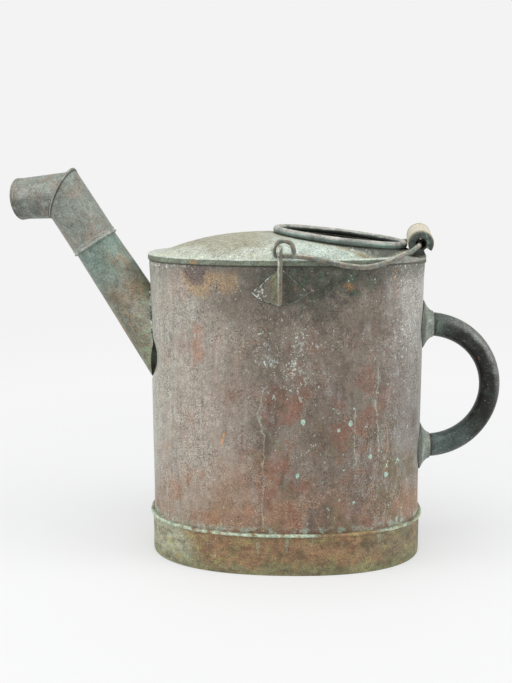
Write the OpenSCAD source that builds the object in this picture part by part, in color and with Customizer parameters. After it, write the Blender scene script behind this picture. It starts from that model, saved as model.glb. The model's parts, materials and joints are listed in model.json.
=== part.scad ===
// Old oval copper watering can: a soldered sheet body on a beaded foot band, a domed hood with
// a wired filler ring, a tapered spout with a slip-on elbow, a hollow rear handle and a bail
// whose wire eyes turn on two rod lugs and carry a wooden roller.
// X runs from the spout to the rear handle, Z is up. The origin is the middle of the oval
// foot, on the surface that the can stands on. Lengths are in millimetres.

/* [Body] */
// Length of the oval body over its sheet
body_l = 279; // [240:1:340]
// Width of the oval body over its sheet
body_w = 166; // [138:1:200]
// Height of the body to the top of its rim
body_h = 313.7; // [260:0.1:380]
// Squareness of the oval, where 2 is a plain ellipse
oval_n = 2.29; // [2:0.01:2.6]
// Thickness of the copper sheet
sheet = 1; // [0.8:0.1:1.4]
// Width of the lap seam that closes the body
lap_w = 12; // [8:1:16]
// Distance of the lap seam's edge from the middle, towards the front
lap_y = 28; // [27:1:40]

/* [Foot] */
// Height of the foot band up to the middle of its bead
foot_h = 41.8; // [30:0.1:60]
// Thickness of the foot band
foot_t = 1.5; // [1:0.1:2.5]
// Radius of the bead that is rolled on the foot band
foot_bead_r = 1.8; // [1.2:0.1:2.6]
// Height of the bottom plate above the surface that the can stands on
bottom_lift = 13; // [8:1:24]
// Height at which the body sheet and the bottom's flange start
wall_lift = 3; // [1:1:6]

/* [Hood] */
// Height of the hood's turned-down edge
rim_h = 6; // [4:0.5:10]
// Thickness of the turned-down edge
rim_t = 1.2; // [0.8:0.1:2]
// Width of the flat margin inside the rim
hood_margin = 12; // [8:1:16]
// Fullness of the dome, where 1 is a straight cone
dome_power = 2.6; // [1.6:0.1:3.2]
// Depth of the dent that the roller has pressed in the rim
rim_dent = 3; // [0:0.5:4]

/* [Filler] */
// Radius of the filler ring to the middle of its wire
ring_r = 64.5; // [50:0.5:70]
// Radius of the wire in the filler ring
ring_wire_r = 3.55; // [2.5:0.05:4.5]
// Distance from the handle end of the body to the nearest point of the ring's middle line
ring_inset = 21.3; // [18:0.1:40]
// Height of the ring's centre above the rim
ring_rise = 15.75; // [14:0.05:20]
// Fall of the ring towards the handle, in degrees
ring_tilt = 6.8; // [4:0.1:8]

/* [Spout] */
// Slope of the spout above the level, in degrees
spout_slope = 57.9; // [52:0.1:64]
// Distance from the rim down to where the spout's middle line meets the body
spout_drop = 80.2; // [70:0.1:110]
// Radius of the spout where it meets the body
spout_wall_r = 25.3; // [20:0.1:28]
// Radius of the spout at its tip, inside the elbow
spout_tip_r = 21.8; // [16:0.1:22.5]
// Length of the spout's middle line from the body to its tip
spout_l = 131; // [110:1:160]
// Width of the crack where the solder has let go under the spout
crack_w = 2.5; // [0:0.1:3]
// Height of the crack
crack_h = 44; // [30:1:50]

/* [Elbow] */
// Length of the spout's tip that the elbow covers
elbow_lap = 27; // [18:1:40]
// Length of the elbow's sleeve on its middle line
sleeve_l = 58.4; // [50:0.1:80]
// Length of the nozzle on its middle line
nozzle_l = 50.5; // [46:0.5:70]
// Bend between the sleeve and the nozzle, in degrees
elbow_bend = 64.2; // [45:0.1:75]
// Turn of the elbow away from the front, in degrees
elbow_turn = 15.5; // [0:0.5:30]
// Narrowing of the nozzle's radius from the mitre to its mouth
nozzle_draft = 2.1; // [0.5:0.1:3]
// Radius of the bead on the sleeve and of the rolled lip at the mouth
elbow_bead_r = 1.1; // [0.8:0.1:1.4]

/* [Handle] */
// Radius of the handle's bend to the middle of the tube
handle_bend_r = 64.5; // [52:0.5:80]
// Distance of the handle below the middle of the wall between the bead and the rim
handle_low = 0.15; // [0:0.05:10]
// Distance from the body to the centre of the handle's bend
handle_stand = 6.2; // [4:0.1:20]
// Radius of the tube at its two ends
handle_end_r = 12.3; // [9:0.1:15]
// Radius of the tube at the middle of its bend
handle_mid_r = 10.7; // [8:0.1:13]
// Radius of the flared feet on the body
handle_foot_r = 24.6; // [18:0.1:26]
// How far the flared feet reach along the tube
handle_foot_l = 10.5; // [8:0.5:16]

/* [Lugs] */
// Distance of the lugs from the middle, towards the spout
lug_x = 5.3; // [0:0.1:20]
// Height of the middle of the rod at the top of a lug, above the rim
lug_rise = 11.8; // [11:0.1:16]
// Radius of the lug's rod
lug_r = 2.35; // [1.8:0.05:3]
// Depth of the rod's lower end below the rim
lug_drop = 41.5; // [30:0.5:60]
// Radius of the fan-shaped patch behind the rod
patch_r = 35; // [26:0.5:44]
// Half of the patch's opening angle
patch_angle = 48; // [30:1:60]
// Thickness of the patch
patch_t = 1; // [0.6:0.1:1.6]

/* [Bail] */
// Radius of the bail's wire
bail_r = 2.3; // [1.8:0.05:2.8]
// Radius of the bail's eyes to the middle of the wire
eye_r = 9.4; // [9:0.1:13]
// Depth by which the arms sag between the eyes and the roller
arm_sag = 12.9; // [4:0.1:16]
// Gap between the bail and what it passes
bail_gap = 0.4; // [0.3:0.05:1]

/* [Grip] */
// Radius of the wooden roller
grip_r = 12.6; // [10:0.1:13.5]
// Length of the wooden roller
grip_l = 80; // [60:1:90]
// Radius of the hole through the roller
grip_bore_r = 5; // [4:0.1:6]
// Turn of the roller in plan, in degrees
grip_skew = 5.5; // [0:0.5:8]
// Climb of the roller away from the front, in degrees
grip_climb = 2; // [0:0.5:3]
// Gap between the middle of the resting roller and the filler ring
rest_gap = 0.75; // [0.7:0.05:1.5]

/* [Hidden] */

copper = "rosybrown";
verdigris = "darkseagreen";
dark_copper = "slategray";
wire_brown = "dimgray";
wood = "wheat";

// points round the oval, and sides of the swept tubes
oval_steps = 96;
tube_sides = 24;
wire_sides = 10;
lug_sides = 20;
$fn = 96;

half_l = body_l / 2;
half_w = body_w / 2;
far = 400;
hair = 0.05;
solder = 0.2;

// The lap seam's strip: its thickness and its distance from the rim and the bead.
lap_t = 0.6;
lap_clear = 1;
bead_from = foot_h - foot_bead_r - 0.2;
lap_from = foot_h + foot_bead_r + lap_clear;
lap_to = body_h - rim_h - rim_dent - lap_clear;
// How far the parts at the handle end reach inwards when they are cut out.
end_zone = 55;

// The dent in the rim: a soft hollow under the near end of the roller.
dent_y = -25;
dent_length = 22;
dent_width = 28;

// Filler ring
ring_x = half_l - ring_inset - ring_r * cos(ring_tilt);
ring_z = body_h + ring_rise;
hole_step = 1.5;
hole_r = ring_r - hole_step;

// Spout and elbow
spout_z = body_h - spout_drop;
spout_taper = (spout_wall_r - spout_tip_r) / spout_l;
spout_root = 40;
elbow_start = spout_l - elbow_lap;
mitre_at = elbow_start + sleeve_l;
slip_gap = 0.3;
sleeve_draft = 0.75;
sleeve_bore_r = max(spout_wall_r - spout_taper * elbow_start,
                    spout_tip_r + sleeve_draft * elbow_lap / sleeve_l);
sleeve_low_r = sleeve_bore_r + slip_gap + sheet;
mitre_step = 0.4;
sleeve_top_r = sleeve_low_r - sleeve_draft;
nozzle_root_r = sleeve_top_r - mitre_step;
nozzle_mouth_r = nozzle_root_r - nozzle_draft;
welt_t = 1;
welt_w = 2.2;

// Handle
handle_x = half_l + handle_stand;
handle_z = (foot_h + foot_bead_r + body_h - rim_h) / 2 - handle_low;
handle_steps = 26;
foot_skin = 1.2;

// Lugs and bail: the bail's eye lies midway between the two legs of each lug.
eye_y = half_w + rim_t + bail_r + bail_gap;
lug_leg = bail_r + bail_gap + lug_r;
lug_z = body_h + lug_rise;
knee_drop = 2;
// the eye hangs off centre on the lug's crown
eye_shift = [3.3, -2.9];
eye_x = eye_shift[0] - lug_x;
eye_z = lug_z + eye_shift[1];
eye_from = -18;
eye_to = 212;
patch_clear = 1.5;
patch_top = body_h - rim_h - patch_clear;

// Roller: it rests between the filler ring and the rim.
grip_reach = grip_r + ring_wire_r + rest_gap;
grip_lean = 16.3;
ring_end_x = ring_x + ring_r * cos(ring_tilt);
ring_end_z = ring_z - ring_r * sin(ring_tilt);
grip_x = ring_end_x + grip_reach * cos(grip_lean);
grip_z = ring_end_z + grip_reach * sin(grip_lean);
bar_reach = 4;
bar_l = grip_l + 2 * bar_reach;
bar_gap = 0.3;
bar_off = grip_bore_r - bail_r - bar_gap;
bar_lean = 135;
arm_steps = 18;

// A signed power, for the oval.
function spow(v, p) = sign(v) * pow(abs(v), p);

// A point of the oval at the angle t, grown outwards by grow.
function oval_pt(t, grow = 0) =
    [(half_l + grow) * spow(cos(t), 2 / oval_n), (half_w + grow) * spow(sin(t), 2 / oval_n)];

// Half the width of the oval, grown outwards by grow, at the distance x from its middle.
function oval_half_width(x, grow) =
    (half_w + grow) * pow(max(0, 1 - pow(abs(x) / (half_l + grow), oval_n)), 1 / oval_n);

function lerp(a, b, f) = a + (b - a) * f;

function unit(v) = v / norm(v);

// How far the dent lowers a point of the hood.
function dent(x, y) =
    rim_dent * exp(-pow((x - half_l) / dent_length, 2) - pow((y - dent_y) / dent_width, 2));

// Faces of a closed loft: rings of n points, and the last ring joins the first.
function loop_faces(rings, n) = [
    for (r = [0 : rings - 1], i = [0 : n - 1])
    let (s = (r + 1) % rings, k = (i + 1) % n)
    each [[r * n + i, s * n + i, r * n + k], [r * n + k, s * n + i, s * n + k]]];

// Faces of a capped loft: rings of n points from one end to the other.
function rod_faces(rings, n) = concat(
    [for (r = [0 : rings - 2], i = [0 : n - 1])
     let (k = (i + 1) % n)
     each [[r * n + i, r * n + k, (r + 1) * n + i], [r * n + k, (r + 1) * n + k, (r + 1) * n + i]]],
    [[for (i = [n - 1 : -1 : 0]) i]],
    [[for (i = [0 : n - 1]) (rings - 1) * n + i]]);

module oval(grow = 0) {
    polygon([for (i = [0 : oval_steps - 1]) oval_pt(360 * i / oval_steps, grow)]);
}

// The space inside the body's outer surface, for cutting what is soldered to it.
module body_core(grow = 0) {
    linear_extrude(body_h) oval(grow);
}

// A patch of sheet that follows the body's surface.
module body_skin(t) {
    difference() {
        body_core(t);
        translate([0, 0, -1]) linear_extrude(body_h + 2) oval();
    }
}

// Places its children along the spout, with Z along the middle line and Z 0 at the body.
module on_spout() {
    translate([-half_l, 0, spout_z]) rotate([0, spout_slope - 90, 0]) children();
}

// A cone frustum between two heights.
module frustum(z0, z1, r0, r1) {
    translate([0, 0, z0]) cylinder(h = z1 - z0, r1 = r0, r2 = r1);
}

function spout_r(at) = spout_wall_r - spout_taper * at;

module spout_solid(inset, from, to) {
    on_spout() frustum(from, to, spout_r(from) - inset, spout_r(to) - inset);
}

module body_wall() {
    color(copper) union() {
        difference() {
            translate([0, 0, wall_lift]) linear_extrude(body_h - sheet - wall_lift) oval();
            translate([0, 0, -1]) linear_extrude(body_h + 2) oval(-sheet);
            spout_solid(sheet, -spout_root, elbow_start);
            // inside the hood's edge the sheet is lower where the rim is dented
            translate([half_l - end_zone, -half_w, body_h - sheet - rim_dent])
                cube([far, body_w, far]);
        }
        intersection() {
            body_skin(lap_t);
            translate([half_l - end_zone, -lap_y - lap_w, lap_from]) cube([far, lap_w, lap_to - lap_from]);
        }
    }
}

module bottom_plate() {
    color(copper) difference() {
        translate([0, 0, wall_lift]) linear_extrude(bottom_lift + sheet - wall_lift) oval(-sheet);
        translate([0, 0, -1]) linear_extrude(bottom_lift + 1) oval(-2 * sheet);
    }
}

// The foot band's bead, as [grow, z] round its section from the inside of its lower edge.
bead_arc = [for (t = [-72 : 24 : 96])
    [foot_t + foot_bead_r * 0.45 + foot_bead_r * cos(t) * 0.95, foot_h + foot_bead_r * sin(t)]];
bead_section = concat([[0, bead_from], [foot_t, bead_from]], bead_arc,
                      [[0.4, foot_h + foot_bead_r], [0, foot_h + foot_bead_r - 0.4]]);

module foot_band() {
    color(verdigris) union() {
        linear_extrude(bead_from) difference() {
            oval(foot_t);
            oval();
        }
        polyhedron(
            [for (s = bead_section, i = [0 : oval_steps - 1])
             let (p = oval_pt(360 * i / oval_steps, s[0])) [p[0], p[1], s[1]]],
            loop_faces(len(bead_section), oval_steps));
    }
}

// A point of the filler hole's edge, a film of solder under the ring's wire.
function hole_pt(t, seat = ring_wire_r + solder) = [
    ring_x + hole_r * cos(t) * cos(ring_tilt) - seat * sin(ring_tilt),
    hole_r * sin(t),
    ring_z - hole_r * cos(t) * sin(ring_tilt) - seat * cos(ring_tilt)];

// A point of the hood between the rim (u = 0) and the filler hole (u = 1).
function hood_pt(t, u, drop) =
    let (rim = oval_pt(t), hole = hole_pt(t),
         edge = hood_margin / norm([hole[0] - rim[0], hole[1] - rim[1]]),
         f = edge + (1 - edge) * u,
         x = lerp(rim[0], hole[0], f),
         y = lerp(rim[1], hole[1], f),
         rise = (hole[2] - body_h) * (1 - pow(1 - u, dome_power)))
    [x, y, body_h + rise - drop - dent(x, y) * (1 - u)];

// A point of the rim, as a growth of the oval and a height below the rim's top.
function rim_pt(t, grow, drop) =
    let (p = oval_pt(t, grow)) [p[0], p[1], body_h - drop - dent(p[0], p[1])];

dome_stations = [0, 0.07, 0.15, 0.25, 0.37, 0.5, 0.66, 0.82, 1];

module hood() {
    angles = [for (i = [0 : oval_steps - 1]) 360 * i / oval_steps];
    rim_out = [[rim_t, rim_h], [rim_t, 0.7], [rim_t - 0.6, 0]];
    rim_in = [[0, sheet], [0, rim_h]];
    inner = [for (i = [len(dome_stations) - 1 : -1 : 0]) dome_stations[i]];
    points = concat(
        [for (s = rim_out, t = angles) rim_pt(t, s[0], s[1])],
        [for (u = dome_stations, t = angles) hood_pt(t, u, 0)],
        [for (u = inner, t = angles) hood_pt(t, u, sheet)],
        [for (s = rim_in, t = angles) rim_pt(t, s[0], s[1])]);
    color(verdigris) polyhedron(
        points, loop_faces(len(rim_out) + len(rim_in) + 2 * len(dome_stations), oval_steps));
}

module filler_ring() {
    color(dark_copper) translate([ring_x, 0, ring_z]) rotate([0, ring_tilt, 0])
        rotate_extrude() translate([ring_r, 0]) circle(r = ring_wire_r, $fn = 48);
}

// The crack under the spout, as a shallow round cut.
crack_cut_r = (pow(crack_h / 2, 2) + pow(crack_w, 2)) / (2 * max(crack_w, 0.01));

module spout_tube() {
    color(verdigris) difference() {
        spout_solid(0, -spout_root, spout_l);
        spout_solid(sheet, -spout_root - 1, spout_l + 1);
        translate([0, 0, -1]) linear_extrude(body_h + 2) oval();
        translate([-half_l - crack_w + crack_cut_r, 0, spout_z - spout_wall_r - 2])
            rotate([90, 0, 0]) cylinder(h = body_w, r = crack_cut_r, center = true, $fn = 180);
    }
}

// Places its children at the elbow's mitre, with Z along the spout and the nozzle towards -X.
module at_mitre() {
    on_spout() translate([0, 0, mitre_at]) rotate([0, 0, -elbow_turn]) children();
}

// Everything beyond the mitre plane, moved along its normal by shift.
module beyond_mitre(shift = 0) {
    rotate([0, -elbow_bend / 2, 0]) translate([-far / 2, -far / 2, shift]) cube(far);
}

module elbow_sleeve() {
    color(verdigris) at_mitre() difference() {
        union() {
            frustum(-sleeve_l, far / 4, sleeve_low_r, sleeve_top_r);
            translate([0, 0, elbow_bead_r - sleeve_l]) rotate_extrude()
                translate([sleeve_low_r, 0]) circle(r = elbow_bead_r, $fn = 32);
            translate([0, 0, 5 - sleeve_l]) rotate_extrude()
                translate([sleeve_low_r - 0.3, 0]) circle(r = elbow_bead_r * 0.8, $fn = 32);
        }
        frustum(-sleeve_l - 1, far / 2, sleeve_low_r - sheet, sleeve_top_r - sheet);
        beyond_mitre();
    }
}

module nozzle_cone(inset, from, to) {
    slope = nozzle_draft / nozzle_l;
    rotate([0, -elbow_bend, 0]) frustum(from, to, nozzle_root_r - inset - from * slope,
                                        nozzle_root_r - inset - to * slope);
}

module elbow_nozzle() {
    color(verdigris) at_mitre() difference() {
        union() {
            intersection() {
                nozzle_cone(0, -far / 8, nozzle_l);
                beyond_mitre();
            }
            // the welt where the nozzle's edge is folded over the sleeve
            intersection() {
                frustum(-far / 8, far / 8, sleeve_top_r + welt_t, sleeve_top_r + welt_t);
                difference() {
                    beyond_mitre();
                    beyond_mitre(welt_w);
                }
            }
            rotate([0, -elbow_bend, 0]) translate([0, 0, nozzle_l - elbow_bead_r])
                rotate_extrude() translate([nozzle_mouth_r, 0]) circle(r = elbow_bead_r, $fn = 32);
        }
        nozzle_cone(sheet, -far / 8, nozzle_l + 1);
    }
}

// The handle's middle line: a half turn from the upper foot to the lower one, with straight ends.
handle_path = concat(
    [[half_l + 0.3, 0, handle_z + handle_bend_r]],
    [for (i = [0 : handle_steps]) let (t = 90 - 180 * i / handle_steps)
     [handle_x + handle_bend_r * cos(t), 0, handle_z + handle_bend_r * sin(t)]],
    [[half_l + 0.3, 0, handle_z - handle_bend_r]]);

// The tube is slimmest at the middle of the bend.
function handle_r(t) = lerp(handle_end_r, handle_mid_r, pow(cos(t), 1.5));
handle_angles = concat([90], [for (i = [0 : handle_steps]) 90 - 180 * i / handle_steps], [-90]);

function handle_ring(i, inset) =
    let (t = handle_angles[i], r = handle_r(t) - inset, p = handle_path[i])
    [for (k = [0 : tube_sides - 1]) let (a = -360 * k / tube_sides)
     p + [r * cos(a) * cos(t), r * sin(a), r * cos(a) * sin(t)]];

module handle_tube() {
    last = len(handle_path) - 1;
    color(dark_copper) polyhedron(
        concat([for (i = [0 : last]) each handle_ring(i, 0)],
               [for (i = [last : -1 : 0]) each handle_ring(i, sheet)]),
        loop_faces(2 * (last + 1), tube_sides));
}

// A flared collar that is soldered to the body round the end of the handle.
module handle_foot(z) {
    reach = half_l + handle_foot_l;
    bore = handle_end_r + 2 * solder;
    flare = 0.9 * (handle_foot_r - bore - sheet);
    deep = handle_foot_l + 3;
    color(dark_copper) difference() {
        union() {
            intersection() {
                body_skin(foot_skin);
                translate([0, 0, z]) rotate([0, 90, 0]) cylinder(h = far, r = handle_foot_r);
            }
            translate([reach, 0, z]) rotate([0, -90, 0]) rotate_extrude() polygon(concat(
                [[0, 0], [bore + sheet, 0]],
                [for (q = [0 : 15 : 90]) [bore + sheet + flare * (1 - cos(q)), 1 + deep * sin(q)]],
                [[0, deep + 1]]));
        }
        body_core();
        translate([0, 0, z]) rotate([0, 90, 0]) cylinder(h = far, r = bore);
    }
}

module handle_foot_upper() {
    handle_foot(handle_z + handle_bend_r);
}

module handle_foot_lower() {
    handle_foot(handle_z - handle_bend_r);
}

// Where the inner side of the lug's short leg stands on the hood: 0 on the flat margin.
lug_seat = half_w - (eye_y - lug_leg - lug_r);
lug_rim_gap = [ring_x - ring_wire_r * sin(ring_tilt), half_w - hole_r];
lug_margin = hood_margin / norm(lug_rim_gap);
lug_seat_u = max(0, (lug_seat / lug_rim_gap[1] - lug_margin) / (1 - lug_margin));

// How far the dome has risen at its share u, beside the lugs.
function hood_rise(u) = (hole_pt(90)[2] - body_h) * (1 - pow(1 - u, dome_power));

// A lug is one bent rod: its long leg is soldered to the patch, its crown carries the bail's
// eye, and its short leg stands on the hood just inside the rim. Its middle line is given as
// [distance out, height, radius], from the rounded foot of the long leg.
lug_foot = [half_w + patch_t + lug_r + hair, body_h - lug_drop];
lug_knee = [eye_y + lug_leg, body_h - rim_h - knee_drop];
lug_path = concat(
    [for (q = [30 : 30 : 90])
     let (p = lug_foot - lug_r * cos(q) * unit(lug_knee - lug_foot)) [p[0], p[1], lug_r * sin(q)]],
    [[lug_knee[0], lug_knee[1], lug_r]],
    [for (t = [0 : 15 : 180])
     [eye_y + lug_leg * cos(t), lug_z - lug_leg + lug_leg * sin(t), lug_r]],
    [[eye_y - lug_leg, body_h + hair + hood_rise(lug_seat_u), lug_r]]);

function lug_ring(i) =
    let (p = lug_path[i], a = lug_path[max(i - 1, 0)],
         b = lug_path[min(i + 1, len(lug_path) - 1)],
         ahead = unit([0, a[0] - b[0], b[1] - a[1]]), out = cross([1, 0, 0], ahead))
    [for (k = [0 : lug_sides - 1]) let (t = 360 * k / lug_sides)
     [-lug_x, -p[0], p[1]] + p[2] * (cos(t) * [1, 0, 0] + sin(t) * out)];

module lug() {
    color(wire_brown) polyhedron([for (i = [0 : len(lug_path) - 1]) each lug_ring(i)],
                                 rod_faces(len(lug_path), lug_sides));
}

module lug_front() {
    lug();
}

module lug_rear() {
    mirror([0, 1, 0]) lug();
}

// A fan-shaped patch soldered on the body behind the lug.
module lug_patch(side) {
    color(verdigris) intersection() {
        body_skin(patch_t);
        translate([-lug_x, side * half_w, patch_top]) rotate([90, 0, 0])
            linear_extrude(body_w / 2, center = true) intersection() {
                circle(r = patch_r);
                polygon([[0, 0], [-2 * patch_r * tan(patch_angle), -2 * patch_r],
                         [2 * patch_r * tan(patch_angle), -2 * patch_r]]);
            }
    }
}

module lug_patch_front() {
    lug_patch(-1);
}

module lug_patch_rear() {
    lug_patch(1);
}

// The roller's own axes: Z along it, X outwards over the handle, Y down.
module at_grip() {
    translate([grip_x, 0, grip_z]) rotate([0, 0, -grip_skew]) rotate([grip_climb, 0, 0])
        rotate([-90, 0, 0]) children();
}

grip_dir = [sin(grip_skew) * cos(grip_climb), cos(grip_skew) * cos(grip_climb), sin(grip_climb)];
grip_out = [cos(grip_skew), -sin(grip_skew), 0];
grip_down = -cross(grip_out, grip_dir);

// An end of the bail's bar, which lies low in the roller's hole, towards the eyes.
function bar_end(side) = [grip_x, 0, grip_z] + side * bar_l / 2 * grip_dir
    + bar_off * (cos(bar_lean) * grip_out + sin(bar_lean) * grip_down);

// The corner where an eye's wire turns into its arm.
function eye_corner(side) =
    [eye_x + eye_r * cos(eye_to), side * eye_y, eye_z + eye_r * sin(eye_to)];

// A point of an arm: it follows the rim in plan, and sags in front of it.
function arm_pt(f, side) =
    let (a = eye_corner(side), b = bar_end(side), x = lerp(a[0], b[0], f),
         rim_y = oval_half_width(x, rim_t + bail_r + 2 * bail_gap),
         y = side * max(rim_y, abs(b[1])),
         sag = arm_sag * pow(sin(180 * pow(f, 1.25)), 2))
    [x, lerp(lerp(a[1], y, min(1, 8 * f)), b[1], pow(f, 18)), lerp(a[2], b[2], f) - sag];

function arm_ring(f, side) =
    let (step = 0.01, p = arm_pt(f, side),
         ahead = unit(arm_pt(min(f + step, 1), side) - arm_pt(max(f - step, 0), side)),
         flat = unit(cross(ahead, [0, 0, 1])), up = cross(flat, ahead))
    [for (k = [0 : wire_sides - 1]) let (t = 360 * (k + 0.5) / wire_sides)
     p + bail_r * (cos(t) * flat + sin(t) * up)];

module arm(side) {
    polyhedron([for (i = [0 : arm_steps]) each arm_ring(i / arm_steps, side)],
               rod_faces(arm_steps + 1, wire_sides));
}

module eye(side) {
    translate([eye_x, side * eye_y, eye_z]) rotate([90, 0, 0]) rotate([0, 0, eye_from])
        rotate_extrude(angle = eye_to - eye_from) translate([eye_r, 0]) circle(r = bail_r, $fn = 48);
    translate(eye_corner(side)) sphere(r = bail_r, $fn = 48);
}

module bail_wire() {
    color(wire_brown) union() {
        for (side = [-1, 1]) {
            arm(side);
            eye(side);
        }
        at_grip() translate([bar_off * cos(bar_lean), bar_off * sin(bar_lean), 0])
            cylinder(h = bar_l + 2 * bail_r, r = bail_r, center = true, $fn = 48);
    }
}

// The roller has lost a long splinter on its lower outer side.
split_from = 35;
split_to = 67;
split_r = 7;

module bail_grip() {
    round_r = 2;
    color(wood) at_grip() difference() {
        rotate_extrude() polygon(concat(
            [[grip_bore_r, -grip_l / 2]],
            [for (t = [-90 : 15 : 0]) [grip_r - round_r + round_r * cos(t),
                                       -grip_l / 2 + round_r + round_r * sin(t)]],
            [for (t = [0 : 15 : 90]) [grip_r - round_r + round_r * cos(t),
                                      grip_l / 2 - round_r + round_r * sin(t)]],
            [[grip_bore_r, grip_l / 2]]));
        linear_extrude(grip_l + 2, center = true) polygon([
            split_r * [cos(split_from), sin(split_from)],
            2 * grip_r * [cos(split_from), sin(split_from)],
            2 * grip_r * [cos(split_to), sin(split_to)],
            split_r * [cos(split_to), sin(split_to)]]);
    }
}

body_wall();
bottom_plate();
foot_band();
hood();
filler_ring();
spout_tube();
elbow_sleeve();
elbow_nozzle();
handle_tube();
handle_foot_upper();
handle_foot_lower();
lug_front();
lug_rear();
lug_patch_front();
lug_patch_rear();
bail_wire();
bail_grip();
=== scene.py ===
# %% [markdown]
# # An old oval copper watering can
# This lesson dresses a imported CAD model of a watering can. The CAD part has the right sizes
# and joints, but its surfaces are plain and faceted. Each step remakes one piece with the
# detail that the real one shows, gives it a patina, and makes it ride on the body that
# carries it, so that the bail still swings and the elbow still turns.
#
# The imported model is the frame: everything below is in metres, in the frame's own axes. X runs
# from the spout to the rear handle, Z is up, and the can stands on Z = 0.

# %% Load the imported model
import json
import math

import bmesh
import bpy
from mathutils import Matrix, Vector, noise

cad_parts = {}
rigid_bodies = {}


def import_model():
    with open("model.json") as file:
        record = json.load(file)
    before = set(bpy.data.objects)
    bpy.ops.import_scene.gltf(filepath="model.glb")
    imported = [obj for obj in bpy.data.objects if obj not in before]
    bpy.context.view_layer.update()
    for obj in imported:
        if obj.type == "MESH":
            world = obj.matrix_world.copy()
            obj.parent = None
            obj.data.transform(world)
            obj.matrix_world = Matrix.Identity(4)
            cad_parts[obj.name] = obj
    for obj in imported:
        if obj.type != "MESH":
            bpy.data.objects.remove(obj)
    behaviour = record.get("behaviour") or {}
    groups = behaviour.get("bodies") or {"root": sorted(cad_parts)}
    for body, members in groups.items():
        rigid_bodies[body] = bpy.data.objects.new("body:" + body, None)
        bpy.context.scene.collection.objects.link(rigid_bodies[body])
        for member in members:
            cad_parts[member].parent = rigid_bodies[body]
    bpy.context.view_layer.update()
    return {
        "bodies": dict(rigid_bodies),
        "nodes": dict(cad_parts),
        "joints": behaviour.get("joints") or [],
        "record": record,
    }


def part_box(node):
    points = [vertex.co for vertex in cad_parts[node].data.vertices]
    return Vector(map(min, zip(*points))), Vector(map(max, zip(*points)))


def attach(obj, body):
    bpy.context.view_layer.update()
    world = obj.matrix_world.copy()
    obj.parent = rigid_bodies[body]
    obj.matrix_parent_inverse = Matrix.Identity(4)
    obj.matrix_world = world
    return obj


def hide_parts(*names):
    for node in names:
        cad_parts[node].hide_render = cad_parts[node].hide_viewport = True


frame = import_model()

# %% [markdown]
# ## Camera
# The camera is made first, so that every later step can be looked at. A 50 mm lens a metre
# away looks a little down on the can, as a person would who kneels in front of it.

# %% Camera
eye = Vector((0.00723, -0.96588, 0.40303))
look_down, look_left, lean = math.radians(10.692), math.radians(2.282), math.radians(-0.139)
lens = bpy.data.cameras.new("camera")
lens.lens, lens.sensor_width = 50, 36
camera = bpy.data.objects.new("camera", lens)
camera.matrix_world = (Matrix.Translation(eye) @ Matrix.Rotation(look_left, 4, "Z")
                       @ Matrix.Rotation(math.pi / 2 - look_down, 4, "X")
                       @ Matrix.Rotation(lean, 4, "Z"))
bpy.context.scene.collection.objects.link(camera)
bpy.context.scene.camera = camera
print("camera", round(math.degrees(look_down), 1), "degrees down")

# %% [markdown]
# ## Shader maths in plain Python
# A patina is a sum of masks: where the metal is bare, where it is green, where water ran.
# Written as nodes such a sum is hard to read, so this small class wraps a socket:
# `mask * 0.5 + 1` adds the Math nodes itself, and `node` adds any other kind of node.
#
# Colours are written as they look, from 0 to 255, and `shade` turns them into the linear
# numbers that shaders take. A patina grows in layers, so `Coats` starts from one colour, and
# each call of it lays one more colour over the others, by a mask.

# %% Colours


def shade(red, green, blue, alpha=1.0):
    """A colour from its 0 to 255 values, as the linear numbers that shaders take."""
    def linear(c):
        c /= 255
        return c / 12.92 if c <= 0.04045 else ((c + 0.055) / 1.055) ** 2.4
    return (linear(red), linear(green), linear(blue), alpha)


# %% Signals


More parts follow.
